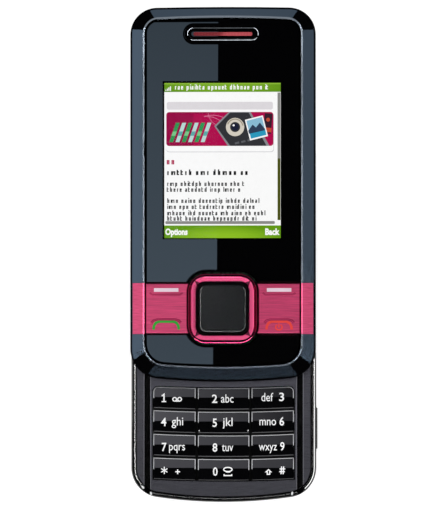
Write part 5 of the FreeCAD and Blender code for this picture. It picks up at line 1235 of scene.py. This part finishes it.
# %% The banner's pattern
stripes = slants([(10, 122), (24, 82), (32, 82), (18, 122)])
bands = slants([(14.5, 109), (17.6, 100), (25.6, 100), (22.5, 109)])
slate_keys = [tilted(150 + 13 * step, 124 - 3 * step, 9, 4, -14) for step in range(4)]
hills = [(173, 99), (182, 86), (189, 92), (197, 82), (207, 94), (207, 98), (175, 105)]
curls = ring_blocks(100, 118, 52, 50.8, 250, 300, 16)
curls += ring_blocks(84, 126, 58, 56.8, 268, 318, 16)
curls += ring_blocks(120, 60, 30, 28.9, 60, 175, 18)
for name, layer, outlines, colour, code in (
    ("shade", 1.5, [rounded(4, 60, 60, 130, 6), block(60, 60, 96, 64)], "wine", "9c0c46"),
    ("slate_edge", 2, [[(103, 89), (133, 60), (178, 60), (217, 130), (131, 130)]], "steel", "8d8f94"),
    ("slate_square", 2.5, [[(107, 90), (136, 61), (174, 61), (211, 130), (136, 130)]], "slate", "35363a"),
    ("slate_keys", 3, slate_keys, "grey", "5f6166"),
    ("cream_ring", 3, ring_blocks(146, 91, 19, 10.5), "cream", "ddd6c8"),
    ("ring_shade", 3.5, ring_blocks(146, 91, 17.5, 15, 200, 350, 12), "sand", "a89f8d"),
    ("ring_middle", 3, [oval(146, 91, 15, 15)], "night", "20243a"),
    ("ring_glint", 3.5, [oval(143, 87.5, 4.5, 4)], None, None),
    ("back_picture", 3.2, [tilted(213.5, 84, 16, 42, 5)], "dusk", "3a2230"),
    ("back_glow", 3.4, [oval(214, 76, 8, 8), tilted(213.5, 97, 15, 9, 5)], "ember", "c8513a"),
    ("picture_frame", 3.6, [tilted(190, 93, 38, 44, -14)], None, None),
    ("picture_sky", 3.8, [tilted(188, 85, 33, 22, -14)], "sky", "8fc4dd"),
    ("picture_water", 3.8, [tilted(193, 104, 33, 15, -14)], "water", "2f9fc4"),
    ("picture_hills", 4, [hills], "hills", "31435c"),
    ("green_stripes", 2, stripes[0::2], "green", "2f9d57"),
    ("pale_stripes", 2, stripes[1::2], "mint", "bfe3de"),
    ("stripe_bands", 2.5, bands[0::2], "leaf", "7fd08f"),
    ("stripe_shades", 2.5, bands[1::2], "teal", "5fb0ad"),
    ("curls", 1.8, curls, "rose", "dd7a9f"),
):
    plate("banner_" + name, layer, outlines, lit("banner_" + colour, code) if code else page_white)
print("banner drawn")

# %% [markdown]
# ## Swept rings and ridges
# The navigation ring, the chrome ring and the folds of the pink plates are all one profile carried
# along a line. A curve with a bevel would do too, but it can't narrow a corner towards the inside, as
# the navigation ring's corners do. So the lines are worked out one by one and joined with faces.

# %% Sweep helpers
SWEEP_WELD = 0.0001


def bridge(shape, lines, closed_across, closed_along):
    """Quads between neighbouring lines of points, as a bmesh."""
    rows = [[shape.verts.new(point) for point in line] for line in lines]
    for near, far in zip(rows, rows[1:] + (rows[:1] if closed_across else [])):
        for place in range(len(near) if closed_along else len(near) - 1):
            following = (place + 1) % len(near)
            shape.faces.new((near[place], near[following], far[following], far[place]))
    return rows


def rounded_line(x, y, half_x, half_y, corner, level, steps=14):
    """A closed line round a block with round corners; in millimetres."""
    points = []
    for x_side, y_side, start in ((1, 1, 0), (-1, 1, 90), (-1, -1, 180), (1, -1, 270)):
        middle = Vector((x + x_side * (half_x - corner), y + y_side * (half_y - corner), level))
        points += [middle + corner * towards(90, start + 90 * step / steps) for step in range(steps + 1)]
    return points


def settle(name, shape, material, body, crease=50):
    """Smooth a bmesh in millimetres, but for its sharp creases, and make it a piece."""
    bmesh.ops.remove_doubles(shape, verts=shape.verts, dist=SWEEP_WELD)
    bmesh.ops.scale(shape, vec=(MM, MM, MM), verts=shape.verts)
    bmesh.ops.recalc_face_normals(shape, faces=shape.faces)
    for face in shape.faces:
        face.smooth = True
    for edge in shape.edges:
        edge.smooth = edge.calc_face_angle(0) < math.radians(crease)
    return as_piece(name, shape, material, body)


def swept(name, middle, halves, corners, profile, body, slot):
    """Carry a profile of (inset, level) round a rounded block; its corners go from one radius to another."""
    wide = max(inset for inset, level in profile)
    lines = []
    for inset, level in profile:
        corner = corners[0] + (corners[1] - corners[0]) * inset / wide
        lines.append(rounded_line(*middle, halves[0] - inset, halves[1] - inset, corner, level))
    shape = bmesh.new()
    bridge(shape, lines, True, True)
    return settle(name, shape, finishes[slot], body)


def stand_in(piece, node):
    """Let a piece stand for a CAD node, and take over its panels."""
    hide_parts(node)
    for group in bpy.data.collections:
        if node in group.objects:
            group.objects.link(piece)


print("sweep helpers ready")

# %% [markdown]
# ## The navigation ring
# The ring is the one showy piece: polished metal with a rounded face, a painted shade towards its
# corners for the dark reflections there, and a fine rim at its foot. The CAD ring has flat slopes,
# which reflect one tone only. So the ring is swept anew from rounded profiles, in the same space, and
# stands for the CAD node. It comes in three pieces, so that light linking can tell them apart. Its
# neighbours do not mirror it, as a card between them would see to.

# %% Ring
RING_PROFILE = (
    (0.93, 13.3), (0.93, 14.947), (0.95, 14.95), (1.1, 14.948), (1.3, 14.93), (1.5, 14.895), (1.7, 14.84),
    (1.9, 14.76), (2.05, 14.66), (2.13, 14.52), (2.15, 14.4), (2.15, 13.3),
)
FLANK_PROFILE = (
    (0.15, 13.3), (0.15, 13.95), (0.2, 13.98), (0.3, 14.1), (0.36, 14.3), (0.42, 14.38), (0.48, 14.4), (0.54, 14.5),
    (0.64, 14.74), (0.72, 14.84), (0.79, 14.9), (0.86, 14.935), (0.95, 14.95), (0.95, 13.3),
)
RIM_PROFILE = ((0.0, 13.9), (0.0, 14.12), (0.05, 14.19), (0.11, 14.23), (0.17, 14.25), (0.18, 13.9))
RING_HALVES = (9.0, 9.07)
ring_pieces = []
for name, corners, profile in (
    ("polished", (3.72, 2.2), RING_PROFILE),
    ("flank", (4.7, 3.7), FLANK_PROFILE),
    ("rim", (4.7, 4.5), RIM_PROFILE),
):
    piece = swept("nav_ring_" + name, RING_PLACE, RING_HALVES, corners, profile, "nav_ring", "pink_polish")
    piece.visible_glossy = False
    ring_pieces.append(piece)
ring, flank, rim = ring_pieces
for side in SIDES:
    bpy.data.collections["ring_%s_edge_lights" % side].objects.link(flank)
    bpy.data.collections["ring_%s_rim_lights" % side].objects.link(rim)
stand_in(ring, "nav_ring")
print("ring of", len(ring.data.polygons), "faces")

# %% [markdown]
# ## The earpiece
# A thin chrome ring lies in a shallow dish of the window, round a slit with red mesh. The dish is
# black all round, because its slope mirrors nothing bright. It is a separate moulded lip here, in two
# bands, and the chrome ring is swept anew as well, so that its ends are truly round.

# %% Chrome ring and dish
low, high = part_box("earpiece_ring")
EAR_PLACE = tuple((low + high).xy / 2 / MM)
EAR_HALVES = tuple((high - low).xy / 2 / MM)
CHROME_PROFILE = (
    (0.0, 13.9), (0.0, 14.08), (0.05, 14.16), (0.15, 14.25), (0.27, 14.29), (0.36, 14.3), (0.47, 14.29), (0.5, 14.2),
    (0.5, 13.9),
)
OUTER_DISH = (
    (0.0, 14.395), (0.03, 14.43), (0.2, 14.44), (0.4, 14.4), (0.7, 14.2), (0.95, 14.02), (1.05, 13.98),
    (1.05, 13.905), (0.45, 13.905), (0.4, 14.37),
)
INNER_DISH = (
    (0.0, 13.905), (0.0, 14.05), (0.2, 14.02), (0.5, 13.96), (0.62, 13.93), (0.64, 13.85), (0.58, 13.905),
)
CHROME_WIDTH = 0.5
radii = (EAR_HALVES[1], EAR_HALVES[1] - CHROME_WIDTH)
chrome = swept("earpiece_ring_polished", EAR_PLACE, EAR_HALVES, radii, CHROME_PROFILE, "slide", "chrome_ring")
stand_in(chrome, "earpiece_ring")
for name, reach, corner, profile in (("outer", 1.04, 1.02, OUTER_DISH), ("inner", -0.52, -0.5, INNER_DISH)):
    halves = [half + reach for half in EAR_HALVES]
    radius = EAR_HALVES[1] + corner
    radii = (radius, radius - max(inset for inset, level in profile))
    swept("earpiece_%s_dish" % name, EAR_PLACE, halves, radii, profile, "slide", "black_gloss")
print("earpiece at", EAR_PLACE)

# %% [markdown]
# ## Marks on the soft keys and the call keys
# Each pink plate has a white bar at its upper end, and a call or end sign at its lower end. They are
# printed like the legends, and ride on the plate as it rocks. The metal is pressed out in a soft fold
# above each sign and round each bar, so a finger finds the key.

# %% Folds in the metal
METAL_SLOT = "pink_metal"
FOLD_CREASE = 80
FOLD_PROFILE = ((-0.5, -0.4), (-0.5, 0.0), (-0.3, 0.65), (0.0, 1.0), (0.3, 0.65), (0.5, 0.0), (0.5, -0.4))


def fold(name, node, points, width, height):
    """A rounded ridge along a line of points on the top face of a node."""
    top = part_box(node)[1].z / MM
    points = [Vector((x, y, 0)) for x, y in points]
    lines = []
    for place, point in enumerate(points):
        run = (points[min(place + 1, len(points) - 1)] - points[max(place - 1, 0)]).normalized()
        across = Vector((-run.y, run.x, 0))
        base = point + Vector((0, 0, top))
        lines.append([base + across * side * width + Vector((0, 0, rise * height)) for side, rise in FOLD_PROFILE])
    shape = bmesh.new()
    rows = bridge(shape, lines, False, True)
    shape.faces.new(rows[0])
    shape.faces.new(reversed(rows[-1]))
    settle(name, shape, finishes[METAL_SLOT], node, FOLD_CREASE)


print("fold helper ready")

# %% Marks on the pink plates
END_KEY = "right_function_key"
call_green = grained("call_green", paint("22a92e"), 0.4, 2000, 0.002)
end_red = grained("end_red", paint("ee3a30"), 0.4, 2000, 0.002)
bar_white = grained("bar_white", paint("ecd3e1"), 0.4, 2000, 0.002)
BAR_ABOVE, SIGN_ABOVE = 0.1 * MM, 0.02 * MM
BAR = ((-3.2, 6.25), (3.2, 6.25))
HALF_ARCH = ((3.3, -4.1), (3.2, -3.2), (2.75, -2.4), (1.9, -2.0))
ARCH = [(-x, y) for x, y in HALF_ARCH] + list(reversed(HALF_ARCH))
LIP = ((-4.3, 5.5), (-3.6, 5.0), (3.6, 5.0), (4.3, 5.5))
# the fold above the arch is a little wider and flatter than the arch itself
ARCH_FOLD = [(x * 1.2, -1.45 + (y + 2.0) * 0.75) for x, y in ARCH[1:-1]]
POWER_SIGN = (oval(14.65, -3.5, 1.7, 1.45, 120, 420, 16), [(14.65, -2.5), (14.65, -3.6)])
for middle, node, colour in ((-14.8, "left_function_key", call_green), (14.7, END_KEY, end_red)):
    bar, arch, arch_fold, lip = [[(middle + x, y) for x, y in points] for points in (BAR, ARCH, ARCH_FOLD, LIP)]
    drape(node + "_bar", stroke(bar, 0.95), node, bar_white, BAR_ABOVE)
    drape(node + "_sign", stroke(arch, 0.66), node, colour, SIGN_ABOVE)
    fold(node + "_fold", node, arch_fold, 0.7, 0.12)
    fold(node + "_lip", node, lip, 0.45, 0.06)
for number, points in enumerate(POWER_SIGN):
    shape = stroke(points, 0.36)
    drape("power_sign_%d" % number, shape, END_KEY, end_red, SIGN_ABOVE)
print("marks printed")

# %% [markdown]
# ## Glints at the ends of the rails
# The two rails run out at the lower end of the plate, where the ends of their linings catch the light as
# four bright spots. Each spot is a painted glint: a small rounded bead, nearly white and barely metallic,
# sunk into the housing's edge.

# %% Rail ends
RAIL_ENDS = (
    ("left_outer", -21.2, -45.35, 125),
    ("left_inner", -19.05, -46.95, 100),
    ("right_inner", 17.95, -46.95, 80),
    ("right_outer", 20.1, -45.3, 55),
)
BEAD_LENGTH, BEAD_WIDTH, BEAD_HEIGHT = 0.5, 0.27, 0.16
# painted glint: the beads are nearly white and barely metallic
painted_glint_white = brushed("painted_glint_white", paint("f2f3f5"), (900, 900, 900), 0.1, 0.35, 0.0005, 0.03)
housing = surface("rear_housing")
for name, x, y, degrees in RAIL_ENDS:
    height = drop(housing, x * MM, y * MM) / MM
    shape = bmesh.new()
    bmesh.ops.create_icosphere(shape, subdivisions=3, radius=1)
    for vertex in shape.verts:
        aside, ahead = turned(vertex.co.x * BEAD_LENGTH, vertex.co.y * BEAD_WIDTH, degrees)
        vertex.co = Vector((x + aside, y + ahead, height + vertex.co.z * BEAD_HEIGHT))
    settle("rail_end_" + name, shape, painted_glint_white, "base")
print("rail ends set")
